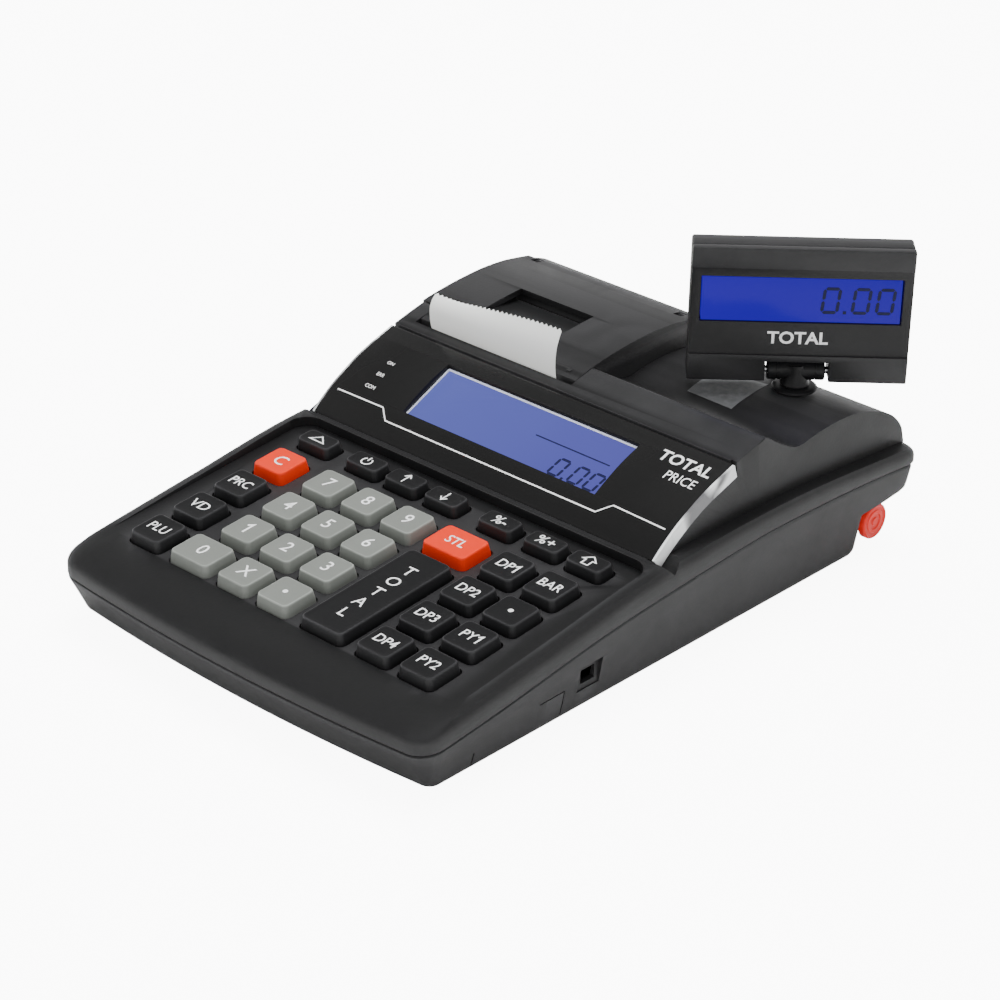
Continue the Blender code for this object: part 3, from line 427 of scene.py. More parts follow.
def build_grain():
    """Spark-eroded grain of moulded plastic: fine pits over a slow unevenness of tone."""
    tree, inp, out = new_group("moulded grain", {"Grain per metre": 900.0, "Unevenness per metre": 22.0},
                               ("Height", "Tone"))
    where = tree.nodes.new("ShaderNodeTexCoord").outputs["Object"]
    pits = tree.nodes.new("ShaderNodeTexNoise")
    pits.inputs["Detail"].default_value = 3.0
    pits.inputs["Roughness"].default_value = 0.65
    cells = tree.nodes.new("ShaderNodeTexVoronoi")
    slow = tree.nodes.new("ShaderNodeTexNoise")
    slow.inputs["Detail"].default_value = 4.0
    for node in (pits, cells, slow):
        tree.links.new(where, node.inputs["Vector"])
    tree.links.new(inp.outputs["Grain per metre"], pits.inputs["Scale"])
    tree.links.new(math_node(tree, "MULTIPLY", inp.outputs["Grain per metre"], 0.8), cells.inputs["Scale"])
    tree.links.new(inp.outputs["Unevenness per metre"], slow.inputs["Scale"])
    height = math_node(tree, "MULTIPLY_ADD", cells.outputs["Distance"], 0.6)
    tree.links.new(pits.outputs["Fac"], height.node.inputs[2])
    tree.links.new(height, out.inputs["Height"])
    tone = math_node(tree, "MULTIPLY_ADD", slow.outputs["Fac"], 0.75)
    tree.links.new(math_node(tree, "MULTIPLY", pits.outputs["Fac"], 0.25), tone.node.inputs[2])
    tree.links.new(tone, out.inputs["Tone"])
    return tree


def build_handling_and_edge_highlight():
    """Faint smears where hands polish a surface, and a mask of edges that are partly rubbed bright and partly
    given a painted highlight.
    """
    tree, inp, out = new_group("handling", {"Smears per metre": 35.0, "Edge reach": 0.06}, ("Smear", "Edge"))
    where = tree.nodes.new("ShaderNodeTexCoord").outputs["Object"]
    smear = tree.nodes.new("ShaderNodeTexNoise")
    smear.inputs["Detail"].default_value = 6.0
    smear.inputs["Roughness"].default_value = 0.6
    smear.inputs["Distortion"].default_value = 0.8
    tree.links.new(where, smear.inputs["Vector"])
    tree.links.new(inp.outputs["Smears per metre"], smear.inputs["Scale"])
    tree.links.new(smear.outputs["Fac"], out.inputs["Smear"])
    bend = tree.nodes.new("ShaderNodeNewGeometry").outputs["Pointiness"]
    edge = tree.nodes.new("ShaderNodeMapRange")
    edge.interpolation_type = "SMOOTHSTEP"
    edge.inputs["From Min"].default_value = 0.5
    tree.links.new(math_node(tree, "ADD", inp.outputs["Edge reach"], 0.5), edge.inputs["From Max"])
    tree.links.new(bend, edge.inputs["Value"])
    # The edge mask is partly wear and partly a painted highlight along edges.
    tree.links.new(math_node(tree, "MULTIPLY", edge.outputs["Result"], smear.outputs["Fac"]),
                   out.inputs["Edge"])
    return tree


GRAIN = build_grain()
HANDLING_AND_HIGHLIGHT = build_handling_and_edge_highlight()


def place_group(mat, tree, values):
    node = mat.node_tree.nodes.new("ShaderNodeGroup")
    node.node_tree = tree
    for label, value in values.items():
        node.inputs[label].default_value = value
    return node


def shade(colour, factor):
    return (*(min(1.0, c * factor) for c in colour), 1.0)


def mix_colours(mat, factor, a, b):
    node = mat.node_tree.nodes.new("ShaderNodeMix")
    node.data_type = "RGBA"
    links = mat.node_tree.links
    links.new(factor, node.inputs[0])
    for socket, value in ((node.inputs[6], a), (node.inputs[7], b)):
        if isinstance(value, tuple):
            socket.default_value = value
        else:
            links.new(value, socket)
    return node.outputs[2]


def spread(mat, value, low, high):
    node = mat.node_tree.nodes.new("ShaderNodeMapRange")
    node.inputs["From Min"].default_value = 0.3
    node.inputs["From Max"].default_value = 0.7
    node.inputs["To Min"].default_value = low
    node.inputs["To Max"].default_value = high
    mat.node_tree.links.new(value, node.inputs["Value"])
    return node.outputs["Result"]


def moulded(name, colour, roughness, grain=900.0, depth=0.00002, unevenness=22.0, variation=0.12,
            edge_wear_and_highlight_gain=1.6, sockets=None, gloss=0.3):
    """Any grained finish: tone, edge wear with a painted edge highlight, smeared gloss and bump; sockets
    holds even values.
    """
    mat = bpy.data.materials.new(name)
    mat.use_nodes = True
    links = mat.node_tree.links
    bsdf = mat.node_tree.nodes["Principled BSDF"]
    grain_node = place_group(mat, GRAIN, {"Grain per metre": grain, "Unevenness per metre": unevenness})
    handling_and_highlight = place_group(mat, HANDLING_AND_HIGHLIGHT, {})
    base = mix_colours(mat, grain_node.outputs["Tone"], shade(colour, 1 - variation),
                       shade(colour, 1 + variation))
    # Edges are lightened by the gain: rubbed wear and a painted highlight rim.
    worn_and_highlit = mix_colours(mat, handling_and_highlight.outputs["Edge"], base, shade(colour, edge_wear_and_highlight_gain))
    links.new(worn_and_highlit, bsdf.inputs["Base Color"])
    links.new(spread(mat, handling_and_highlight.outputs["Smear"], roughness * 0.9, min(1.0, roughness * 1.12)),
              bsdf.inputs["Roughness"])
    bump = mat.node_tree.nodes.new("ShaderNodeBump")
    bump.inputs["Distance"].default_value = depth
    bump.inputs["Strength"].default_value = 0.6
    links.new(grain_node.outputs["Height"], bump.inputs["Height"])
    links.new(bump.outputs["Normal"], bsdf.inputs["Normal"])
    bsdf.inputs["Specular IOR Level"].default_value = gloss
    for label, value in (sockets or {}).items():
        bsdf.inputs[label].default_value = value
    return mat


def clear_with_painted_glints(name):
    """Clear moulding edge-on: painted highlights where it would gather light and painted reflections of the
    dark case, as near-white and dark grey noise patches in its colour.
    """
    mat = moulded(name, (0.8, 0.82, 0.82), 0.08, 400.0, 0.00001, 40.0, 0.05, 1.2, {"IOR": 1.49}, 0.6)
    tree = mat.node_tree
    where = tree.nodes.new("ShaderNodeTexCoord").outputs["Object"]
    cloud = tree.nodes.new("ShaderNodeTexNoise")
    cloud.inputs["Scale"].default_value = 75.0
    cloud.inputs["Detail"].default_value = 1.5
    cloud.inputs["Distortion"].default_value = 0.6
    tree.links.new(where, cloud.inputs["Vector"])
    step = tree.nodes.new("ShaderNodeMapRange")
    step.inputs["From Min"].default_value = 0.38
    step.inputs["From Max"].default_value = 0.56
    tree.links.new(cloud.outputs["Fac"], step.inputs["Value"])
    bsdf = tree.nodes["Principled BSDF"]
    # Painted highlight and painted reflection: noise patches switch the colour between dark grey and
    # near-white.
    tint = mix_colours(mat, step.outputs["Result"], (0.14, 0.14, 0.145, 1.0), (0.85, 0.87, 0.87, 1.0))
    tree.links.new(tint, bsdf.inputs["Base Color"])
    return mat


def lit_panel(name, corner, middle, strength, low, high, axis="X"):
    """Backlit panel: brighter towards one end, with a soft cloudy unevenness."""
    mat = bpy.data.materials.new(name)
    mat.use_nodes = True
    tree = mat.node_tree
    bsdf = tree.nodes["Principled BSDF"]
    where = tree.nodes.new("ShaderNodeTexCoord").outputs["Object"]
    split = tree.nodes.new("ShaderNodeSeparateXYZ")
    tree.links.new(where, split.inputs[0])
    run = tree.nodes.new("ShaderNodeMapRange")
    run.inputs["From Min"].default_value = low
    run.inputs["From Max"].default_value = high
    tree.links.new(split.outputs[axis], run.inputs["Value"])
    cloud = tree.nodes.new("ShaderNodeTexNoise")
    cloud.inputs["Scale"].default_value = 28.0
    tree.links.new(where, cloud.inputs["Vector"])
    share = math_node(tree, "MULTIPLY_ADD", cloud.outputs["Fac"], 0.35)
    tree.links.new(math_node(tree, "MULTIPLY", run.outputs["Result"], 0.75), share.node.inputs[2])
    tint = mix_colours(mat, share, (*corner, 1.0), (*middle, 1.0))
    tree.links.new(tint, bsdf.inputs["Emission Color"])
    bsdf.inputs["Base Color"].default_value = (0.004, 0.004, 0.02, 1.0)
    bsdf.inputs["Specular IOR Level"].default_value = 0.12
    bsdf.inputs["Emission Strength"].default_value = strength
    bsdf.inputs["Roughness"].default_value = 0.2
    return mat


# Edge gains above 1 lighten edges as wear and as a painted highlight; the black keys' 9.0 paints a bright rim
# round each key top.
CASE = moulded("case plastic", (0.0118, 0.0118, 0.0123), 0.44, 1100.0, 0.00003, edge_wear_and_highlight_gain=3.5, gloss=0.3)
CASE_SIDE = moulded("case plastic lower", (0.02, 0.02, 0.0208), 0.48, 1100.0, 0.00003, edge_wear_and_highlight_gain=2.5,
                    gloss=0.3)
KEY_BLACK = moulded("key charcoal", (0.0085, 0.0085, 0.009), 0.36, 1500.0, 0.000012, 60.0, 0.1, 9.0)
KEY_GREY = moulded("key grey", (0.175, 0.185, 0.17), 0.42, 1500.0, 0.000012, 60.0, 0.08, 2.4)
KEY_RED = moulded("key orange red", (0.78, 0.028, 0.004), 0.38, 1500.0, 0.000012, 60.0, 0.05, 1.6, gloss=0.2)
INK = moulded("white legend ink", (0.94, 0.94, 0.94), 0.5, 2500.0, 0.000004, 90.0, 0.04, 1.0)
DARK = moulded("dark plastic", (0.008, 0.008, 0.0085), 0.38, 1300.0, 0.00002)
LENS_BLACK = moulded("smoked lens", (0.011, 0.011, 0.011), 0.2, 300.0, 0.000002, 15.0, 0.1, 1.2, gloss=0.18)
CLEAR_EDGE_PAINTED_GLINTS = clear_with_painted_glints("clear flank with painted glints")
STEEL = moulded("bright steel", (0.62, 0.62, 0.64), 0.28, 700.0, 0.00001, 40.0, 0.08, 1.15,
                {"Metallic": 1.0})
RUBBER = moulded("rubber", (0.012, 0.012, 0.013), 0.75, 1600.0, 0.00004, 50.0, 0.15)
PAPER = moulded("thermal paper", (0.97, 0.985, 0.955), 0.62, 2200.0, 0.00001, 30.0, 0.015, 1.0)
PRINT = moulded("thermal print", (0.05, 0.05, 0.055), 0.6, 2600.0, 0.000004, 300.0, 0.3, 1.0)
BOARD = moulded("solder mask", (0.012, 0.12, 0.045), 0.35, 400.0, 0.00002, 90.0, 0.2)
SEAL = moulded("seal plastic", (0.72, 0.02, 0.012), 0.3, 900.0, 0.00002, 60.0, 0.1, 1.3)
NYLON = moulded("gear nylon", (0.72, 0.71, 0.66), 0.45, 900.0, 0.00002, 60.0, 0.06)
WRAP = moulded("battery wrap", (0.02, 0.09, 0.35), 0.3, 300.0, 0.00003, 60.0, 0.1)
FOIL = moulded("sticker foil", (0.13, 0.133, 0.137), 0.35, 500.0, 0.00002, 420.0, 0.7, 1.2, gloss=0.2)
FRAME_WHITE = moulded("panel frame", (0.5, 0.52, 0.62), 0.35, 900.0, 0.00001, 60.0, 0.05)
SEGMENT = moulded("panel segment", (0.01, 0.011, 0.04), 0.3, 900.0, 0.000004, 60.0, 0.1, gloss=0.1)
PANEL_BLUE = lit_panel("operator panel light", (0.15, 0.18, 0.62), (0.11, 0.11, 0.5), 0.9, -0.043, 0.043)
DISPLAY_BLUE = lit_panel("customer panel light", (0.03, 0.0, 0.5), (0.022, 0.0, 0.4), 0.9, 0.02, 0.08)


# ---- case ------------------------------------------------------------------------------------
def half_outline(half, front, rear, r_front=CORNER_R, r_rear=REAR_R):
    """Right half of the case's plan, from the front middle to the rear middle."""
    points = []
    for k in range(9):
        x = (half - r_front) * k / 8
        points.append((x, front + FRONT_BOW * (x / half) ** 2))
    start = points[-1][1] + r_front
    for k in range(1, 9):
        a = math.radians(-90 + 90 * k / 8)
        points.append((half - r_front + r_front * math.cos(a), start + r_front * math.sin(a)))
    for k in range(1, 49):
        points.append((half, start + (rear - r_rear - start) * k / 48))
    for k in range(1, 9):
        a = math.radians(90 * k / 8)
        points.append((half - r_rear + r_rear * math.cos(a), rear - r_rear + r_rear * math.sin(a)))
    points.append((0.0, rear))
    return points


def loft(rings):
    """Skin through mirrored plan rings, each the right half's (x, y, z) points."""
    bm = bmesh.new()
    rows = []
    for ring_points in rings:
        right = [bm.verts.new(p) for p in ring_points]
        left = [right[0]] + [bm.verts.new((-x, y, z)) for x, y, z in ring_points[1:-1]] + [right[-1]]
        rows.append((right, left))
    for (right0, left0), (right1, left1) in zip(rows, rows[1:]):
        for k in range(len(right0) - 1):
            bm.faces.new((right0[k], right0[k + 1], right1[k + 1], right1[k]))
            bm.faces.new((left1[k], left1[k + 1], left0[k + 1], left0[k]))
    for right, left in (rows[0], rows[-1]):
        last = len(right) - 1
        bm.faces.new((right[0], right[1], left[1]))
        for k in range(1, last - 1):
            bm.faces.new((right[k], right[k + 1], left[k + 1], left[k]))
        bm.faces.new((right[last - 1], right[last], left[last - 1]))
    bmesh.ops.triangulate(bm, faces=bm.faces)
    return bm


def ring(side, front, rear, height):
    """Plan ring set in from the lip by three distances."""
    outline = half_outline(BODY_HALF - side, FRONT_Y + front, REAR_Y - rear)
    return [(x, y, height(y)) for x, y in outline]


def shoulder(share):
    """Height part way from just above the lip to the rim of the keyboard."""
    return lambda y: curve_at(LIP, y) * (1 - share) + curve_at(RIM, y) * share + 1.5 * (1 - share)


def upper_skin():
    return loft([
        ring(0.55, 0.55, 0.55, lambda y: curve_at(SEAM, y) + GAP / 2),
        ring(0.12, 0.12, 0.12, lambda y: curve_at(SEAM, y) + 0.45),
        ring(0.0, 0.0, 0.0, lambda y: curve_at(SEAM, y) + 0.75),
        ring(0.0, 0.0, 0.0, lambda y: curve_at(LIP, y) - 1.6),
        ring(0.08, 0.1, 0.1, lambda y: curve_at(LIP, y) - 0.9),
        ring(0.28, 0.4, 0.35, lambda y: curve_at(LIP, y) - 0.2),
        ring(0.58, 1.1, 0.8, lambda y: curve_at(LIP, y) + 0.4),
        ring(0.95, 2.6, 1.6, lambda y: curve_at(LIP, y) + 0.95),
        ring(1.3, 5.6, 2.7, shoulder(0.08)),
        ring(1.9, 9.5, 4.0, shoulder(0.42)),
        ring(2.7, 13.8, 5.4, shoulder(0.74)),
        ring(3.6, 18.5, 7.0, shoulder(1.0)),
    ])


def panel_z(y):
    return KEYPAD_Z - KEY_RISE / math.cos(KEYPAD_TILT) + math.tan(KEYPAD_TILT) * y


def case_room():
    def under(y):
        return min(curve_at(RIM, y), panel_z(y)) - WALL

    outline = [ring(WALL, WALL, WALL, lambda y: curve_at(SEAM, y) - 4.0),
               ring(WALL, WALL, WALL, lambda y: curve_at(LIP, y) - 2.0),
               ring(WALL + 3.0, 16.5, 9.5, under)]
    return loft(outline)


def on_keypad():
    return Matrix.Translation((0, 0, KEYPAD_Z)) @ Matrix.Rotation(KEYPAD_TILT, 4, "X")


def key_list():
    """name, x, row, width, depth, finish, legend of every key."""
    col = {"a": -60.2, "b": -37.4, "c": -19.4, "d": -1.4, "e": 20.6, "f": 42.2, "g": 60.2}
    keys = [("key_0", -39.45, 0, 16.4, KEY_TOP, KEY_GREY, "0"),
            ("key_total", col["e"], 1, 17.1, KEY_TOP + 2 * KEY_PITCH, KEY_BLACK, "TOTAL"),
            ("key_subtotal", 20.1, 3, 17.4, KEY_TOP, KEY_RED, "STL"),
            ("key_clear", col["a"], 3, KEY_TOP, KEY_TOP, KEY_RED, "C")]
    plain = {"a": (("key_plu", "PLU"), ("key_void", "VD"), ("key_price", "PRC")),
             "b": (None, ("key_1", "1"), ("key_4", "4"), ("key_7", "7")),
             "c": (("key_multiply", "X"), ("key_2", "2"), ("key_5", "5"), ("key_8", "8")),
             "d": (("key_decimal", "dot"), ("key_3", "3"), ("key_6", "6"), ("key_9", "9")),
             "f": (("key_dept_4", "DP4"), ("key_dept_3", "DP3"), ("key_dept_2", "DP2"),
                   ("key_dept_1", "DP1")),
             "g": (("key_pay_2", "PY2"), ("key_pay_1", "PY1"), ("key_dot", "dot"), ("key_bar", "BAR"))}
    for column, names in plain.items():
        finish = KEY_GREY if column in "bcd" else KEY_BLACK
        for row, entry in enumerate(names):
            if entry:
                keys.append((entry[0], col[column], row, KEY_TOP, KEY_TOP, finish, entry[1]))
    small = (("key_feed", col["a"], "feed"), ("key_power", col["b"], "power"), ("key_up", col["c"], "up"),
             ("key_down", col["d"], "down"), ("key_discount", 22.6, "%-"), ("key_surcharge", col["f"], "%+"),
             ("key_shift", col["g"], "shift"))
    for name, x, legend in small:
        keys.append((name, x, 4, KEY_TOP + 0.8, 7.1, KEY_BLACK, legend))
    return keys


KEYS = key_list()


def upper_cover():
    """Cover with its sunken keyboard, lens seat, printer bay and deck."""
    shell = work("upper", upper_skin())
    half = SECTION_HALF
    low = 29.0
    lid_side = LID_X[1] + GAP
    crown = [(60.9, low), (60.9, 36.4)] + fine(LENS) + fine(STRIP, 3.0) + [(116.3, low)]
    deck = [(110.0, low), (110.0, 59.0), (116.25, 61.1), (117.2, 60.9)] + fine(DECK, 1.6) + [(194.3, low)]
    rear = [(173.1, low)] + fine(REAR_COVER, 1.6) + [(194.3, low)]

    def rounded_prism(outline, x, width):
        obj = work("prism", profile(outline, x))
        soften(obj, width, 3, 50.0)
        bm = bmesh.new()
        bm.from_mesh(obj.data)
        bpy.data.objects.remove(obj)
        return bm

    add(shell, rounded_prism(crown, (-half, half), 0.5), rounded_prism(deck, (lid_side, half), 1.0),
        rounded_prism(rear, (-half, lid_side + 1.0), 0.9),
        block((-half, -half + WALL), (110.0, 175.0), (low, LID_SKIRT_Z - 2 * GAP)), solver="MANIFOLD")

    slot_wall = SLOT_Y - WALL
    bed = lowered(fine(LENS), LENS_T + GAP + WALL)
    under_strip = STRIP[0][1] - WALL - 0.2
    crown_in = [(bed[0][0], 20.0)] + bed + [(104.0 - WALL, under_strip), (slot_wall, under_strip + 0.6),
                                            (slot_wall, 20.0)]
    deck_in = [(slot_wall - 1.0, 20.0), (slot_wall - 1.0, under_strip), (115.0, 58.0), (120.0, 55.0)]
    deck_in += [(y, z - WALL - 0.3) for y, z in DECK[2:9]] + [(190.6, 33.0), (190.6, 20.0)]
    wall_y = BAY_Y[1] + GAP
    rear_in = [(wall_y, 20.0), (wall_y, 40.9), (175.5, 40.9), (175.5, 57.6), (180.0, 55.2), (185.0, 50.5),
               (189.0, 43.0), (190.6, 35.0), (190.6, 20.0)]
    cut(shell, case_room(), profile(crown_in, (-half + 5.0, half - 5.0)),
        profile(deck_in, (lid_side + WALL, half - WALL)),
        profile(rear_in, (-half + WALL, lid_side - WALL)), solver="MANIFOLD")

    add(shell, block(BAY_X, BAY_Y, (9.0, 44.0)), block(BAY_X, (166.0, 175.6), (41.0, 44.0)),
        solver="MANIFOLD")
    cut(shell, block((-71.2, 2.2), (124.4, 165.6), (11.4, 80.0)),
        block((LID_TONGUE_X - GAP, lid_side), (SLOT_Y, BAY_Y[0] - GAP), (25.0, 80.0)),
        block((PAPER_X[0] - 1.5, PAPER_X[1] + 1.5), (121.0, 125.0), (35.0, 60.0)),
        block((-90.0, lid_side), (116.4, 173.05), (LID_SKIRT_Z - 2 * GAP, 80.0)), solver="MANIFOLD")

    lens_line = fine(LENS)
    face = lowered(lens_line, LENS_T + GAP)
    flank = lowered(lens_line, LENS_SKIRT + GAP)
    stop = (face[-1][0] + 0.6, face[-1][1] + 6.0)
    above = [(y - 30.0, z + 30.0) for y, z in (LENS[-1], LENS[0])]
    cut(shell, profile(face + [stop] + above, (-90.0, 90.0)), solver="MANIFOLD")
    for sx in (-1, 1):
        xs = sorted((sx * (LENS_HALF - LENS_T - GAP), sx * 90.0))
        cut(shell, profile(flank + [stop] + above, xs), solver="MANIFOLD")
    cut(shell, block((-44.0, 44.0), LCD_Y, (38.0, 70.0)), solver="MANIFOLD")

    side = BODY_HALF - 4.7
    rear_v = 60.6
    recess = [(-side, -80.0), (side, -80.0)] + arc((side - 7.0, rear_v - 7.0), 7.0, 0, 90, 8)
    recess += arc((-side + 7.0, rear_v - 7.0), 7.0, 90, 180, 8)
    cut(shell, slab([recess], 20.0, on_keypad() @ Matrix.Translation((0, 0, 10.0 - KEY_RISE))),
        solver="MANIFOLD")
    holes = []
    for name, x, row, width, depth, finish, legend in KEYS:
        place = on_keypad() @ Matrix.Translation((x, ROW_0 + KEY_PITCH * row, -6.0))
        holes.append(slab([rounded(width + 2.6, depth + 2.6, 2.4, 4)], 12.0, place))
    cut(shell, joined(holes), solver="MANIFOLD")

    y, z = LID_PIVOT
    arm = [(y, z - 4.0), (174.0, z - 6.0), (174.0, z + 0.4), (y, z + 2.0), (y - 2.0, z)]
    add(shell, profile(arm, (-72.0, -69.2)), profile(arm, (-5.4, -2.6)), solver="MANIFOLD")
    x, y = DISPLAY_AXIS
    cut(shell, rod((x, y, 40.0), (x, y, 70.0), 3.7), rod((x, y, DECK_Z + 0.6), (x, y, DECK_Z + 6.0), 8.1),
        rod((x - 10.5, y + 3.0, 45.0), (x - 10.5, y + 3.0, 60.0), 1.3, 0.1, 20), solver="MANIFOLD")
    return finish_piece(shell, "upper_cover", CASE, "case", ["top_cover"], sharp=28.0)


def lower_shell():
    """Drafted lower shell, its rear cut back under an overhang."""
    rear_line = [(0.0, 170.9), (0.55, 171.4), (0.62, 187.0), (0.68, 194.8), (1.0, 195.6)]

    def rings(inset, floor, levels):
        out = []
        for share, rear, tuck in levels:
            half = BASE_HALF + (BODY_HALF - BASE_HALF) * share - inset - tuck
            front = FRONT_Y + 6.7 * (1 - share) + inset + tuck
            corner = BASE_CORNER_R + (CORNER_R - BASE_CORNER_R) * share - inset
            outline = half_outline(half, front, rear - inset - tuck, corner, REAR_R - inset)
            out.append([(x, y, floor + (curve_at(SEAM, y) - GAP / 2 - floor) * share) for x, y in outline])
        return out

    outer = [(0.0, 170.9, 1.2), (0.016, 170.9, 0.5), (0.05, 170.9, 0.1), (0.09, 171.0, 0.0),
             (0.53, 171.3, 0.0), (0.56, 172.2, 0.0), (0.6, 184.6, 0.0), (0.62, 187.6, 0.0),
             (0.65, 192.4, 0.0), (0.68, 194.6, 0.0), (0.74, 195.1, 0.0), (0.96, 195.6, 0.0),
             (0.98, 195.6, 0.12), (1.0, 195.6, 0.55)]
    shell = work("lower", loft(rings(0.0, 0.0, outer)))
    inner = rings(WALL, WALL, [(share, rear, 0.0) for share, rear in rear_line])
    top = [(x, y, z + 5.0) for x, y, z in inner[-1]]
    cut(shell, loft(inner + [top]), solver="MANIFOLD")
    for sx in (-1, 1):
        for y in (-24.0, 156.0):
            pad = turned((sx * 66.0, y, -2.0), (sx * 66.0, y, 1.2),
                         [(0.0, 5.6), (0.5, 6.3), (0.9, 6.5), (3.2, 6.5)])
            add(shell, pad, solver="MANIFOLD")
    outside = BODY_HALF + 2.0
    cut(shell, block((BASE_HALF + 0.8, outside), (24.0, 34.4), (7.2, 16.6)),
        block((BASE_HALF - 3.0, outside), (26.2, 32.6), (9.2, 14.0)),
        block((79.0, outside), (6.3, 17.6), (10.7, 11.2)), block((77.6, outside), (17.4, 17.9), (1.8, 11.2)),
        block((77.6, outside), (-22.3, -21.7), (1.5, 6.1)), solver="MANIFOLD")
    return finish_piece(shell, "lower_shell", CASE_SIDE, "case", ["bottom_case"], sharp=28.0)


# ---- keys --------------------------------------------------------------------------------------
def cap_mesh(width, depth):
    """Drafted key with a soft edge and a slightly dished top."""
    levels = [(-7.6, 3.6, 1.6), (-6.6, 3.6, 1.6), (-6.6, 1.7, 2.0), (-KEY_RISE, 1.5, 2.0), (-2.2, 1.05, 2.0),
              (-0.7, 0.56, 1.9), (-0.38, 0.4, 1.85), (-0.14, 0.14, 1.75), (-0.02, -0.2, 1.6),
              (0.0, -0.6, 1.5),
              (-0.03, -1.6, 1.2), (-0.06, -4.0, 0.8)]
    bm = bmesh.new()
    rows = []
    for height, grow, radius in levels:
        outline = rounded(width + grow, depth + grow, min(radius, (depth + grow) / 2 - 0.05))
        rows.append([bm.verts.new((u, v, height)) for u, v in outline])
    for low, high in zip(rows, rows[1:]):
        for k in range(len(low)):
            j = (k + 1) % len(low)
            bm.faces.new((low[k], low[j], high[j], high[k]))
    bm.faces.new(rows[0][::-1])
    bm.faces.new(rows[-1])
    return bm


def lettering(text, size, matrix, thick=0.05, narrow=1.0, bold=0.0):
    """Centred lettering as a thin mesh."""
    curve = bpy.data.curves.new("legend", "FONT")
    curve.body = text
    curve.size = size
    curve.align_x = "CENTER"
    curve.align_y = "CENTER"
    curve.extrude = thick / 2
    curve.offset = bold
    curve.resolution_u = 3
    bm = from_curve(curve)
    bm.transform(matrix @ Matrix.Diagonal((narrow, 1.0, 1.0, 1.0)))
    return bm


def stroke(points, width, closed=False, thick=0.05):
    """A line of even width drawn through (u, v) points."""
    count = len(points)
    left, right = [], []
    for k, (u, v) in enumerate(points):
        a = Vector(points[(k - 1) % count] if closed or k else points[k])
        b = Vector(points[(k + 1) % count] if closed or k < count - 1 else points[k])
        here = Vector((u, v))
        before = (here - a).normalized() if (here - a).length else (b - here).normalized()
        after = (b - here).normalized() if (b - here).length else before
        tangent = (before + after).normalized()
        miter = width / 2 / max(0.4, tangent.dot(after))
        side = Vector((-tangent.y, tangent.x)) * miter
        left.append(tuple(here + side))
        right.append(tuple(here - side))
    if closed:
        return slab([left, right], thick)
    return slab([left + right[::-1]], thick)


def legend_mesh(text):
    """The print on one key's top, drawn flat about its middle."""
    flat = Matrix.Identity(4)
    if text == "TOTAL":
        letters = []
        for k, letter in enumerate(text):
            letters.append(lettering(letter, 6.6, Matrix.Translation((0.3, 14.0 - 7.2 * k, 0)), bold=0.02))
        return joined(letters)
    if text == "dot":
        return slab([arc((0, 0), 0.9, 0, 345, 23)], 0.05)
    if text == "feed":
        return stroke([(-3.2, -1.3), (0, 1.7), (3.2, -1.3)], 0.5, True)
    if text == "power":
        return joined([stroke(arc((0, -0.2), 1.9, 125, 415, 22), 0.5), stroke([(0, 0.2), (0, 2.4)], 0.5)])
    if text in ("up", "down"):
        flip = 1 if text == "up" else -1
        return joined([stroke([(0, -2.4 * flip), (0, 2.1 * flip)], 0.5),
                       stroke([(-1.4, 0.8 * flip), (0, 2.4 * flip), (1.4, 0.8 * flip)], 0.5)])
    if text == "shift":
        return stroke([(0, 2.7), (2.7, 0.3), (1.3, 0.3), (1.3, -2.3), (-1.3, -2.3), (-1.3, 0.3), (-2.7, 0.3)],
                      0.5, True)
    size = {1: 7.2, 2: 6.0, 3: 5.7}[len(text)]
    tall = size * 0.36
    if not text.endswith("1"):
        return lettering(text, size, flat, narrow=0.9 if len(text) == 3 else 1.0, bold=0.02)
    one = stroke([(-0.22 * size, tall * 0.5), (0, tall), (0, -tall)], 0.11 * size)
    if text == "1":
        return one
    rest = lettering(text[:-1], size, flat, narrow=0.9, bold=0.02)
    width = max(vert.co.x for vert in rest.verts) - min(vert.co.x for vert in rest.verts)
    rest.transform(Matrix.Translation((-0.15 * size, 0, 0)))
    one.transform(Matrix.Translation((width / 2 + 0.16 * size, 0, 0)))
    return joined([rest, one])


def keyboard():
    for name, x, row, width, depth, finish, legend in KEYS:
        place = on_keypad() @ Matrix.Translation((x, ROW_0 + KEY_PITCH * row, 0.0))
        make(name.replace("key_", "cap_"), cap_mesh(width, depth), finish, name, [name], place, 50.0)
        ink = legend_mesh(legend)
        lift = -0.07 if width < 15 or depth < 15 else -0.1
        ink.transform(Matrix.Translation((0, 0, lift + 0.02)))
        make(name.replace("key_", "legend_"), ink, INK, name, (), place, 30.0)


# ---- lens and operator panel ---------------------------------------------------------------------
LENS_LINE = fine(LENS, 0.8)


def lens_place(y, lift):
    """Point and tilt on the lens at a depth y."""
    z = curve_at(LENS, y)
    slope = (curve_at(LENS, y + 0.2) - curve_at(LENS, y - 0.2)) / 0.4
    angle = math.atan(slope)
    return y - lift * math.sin(angle), z + lift * math.cos(angle), angle


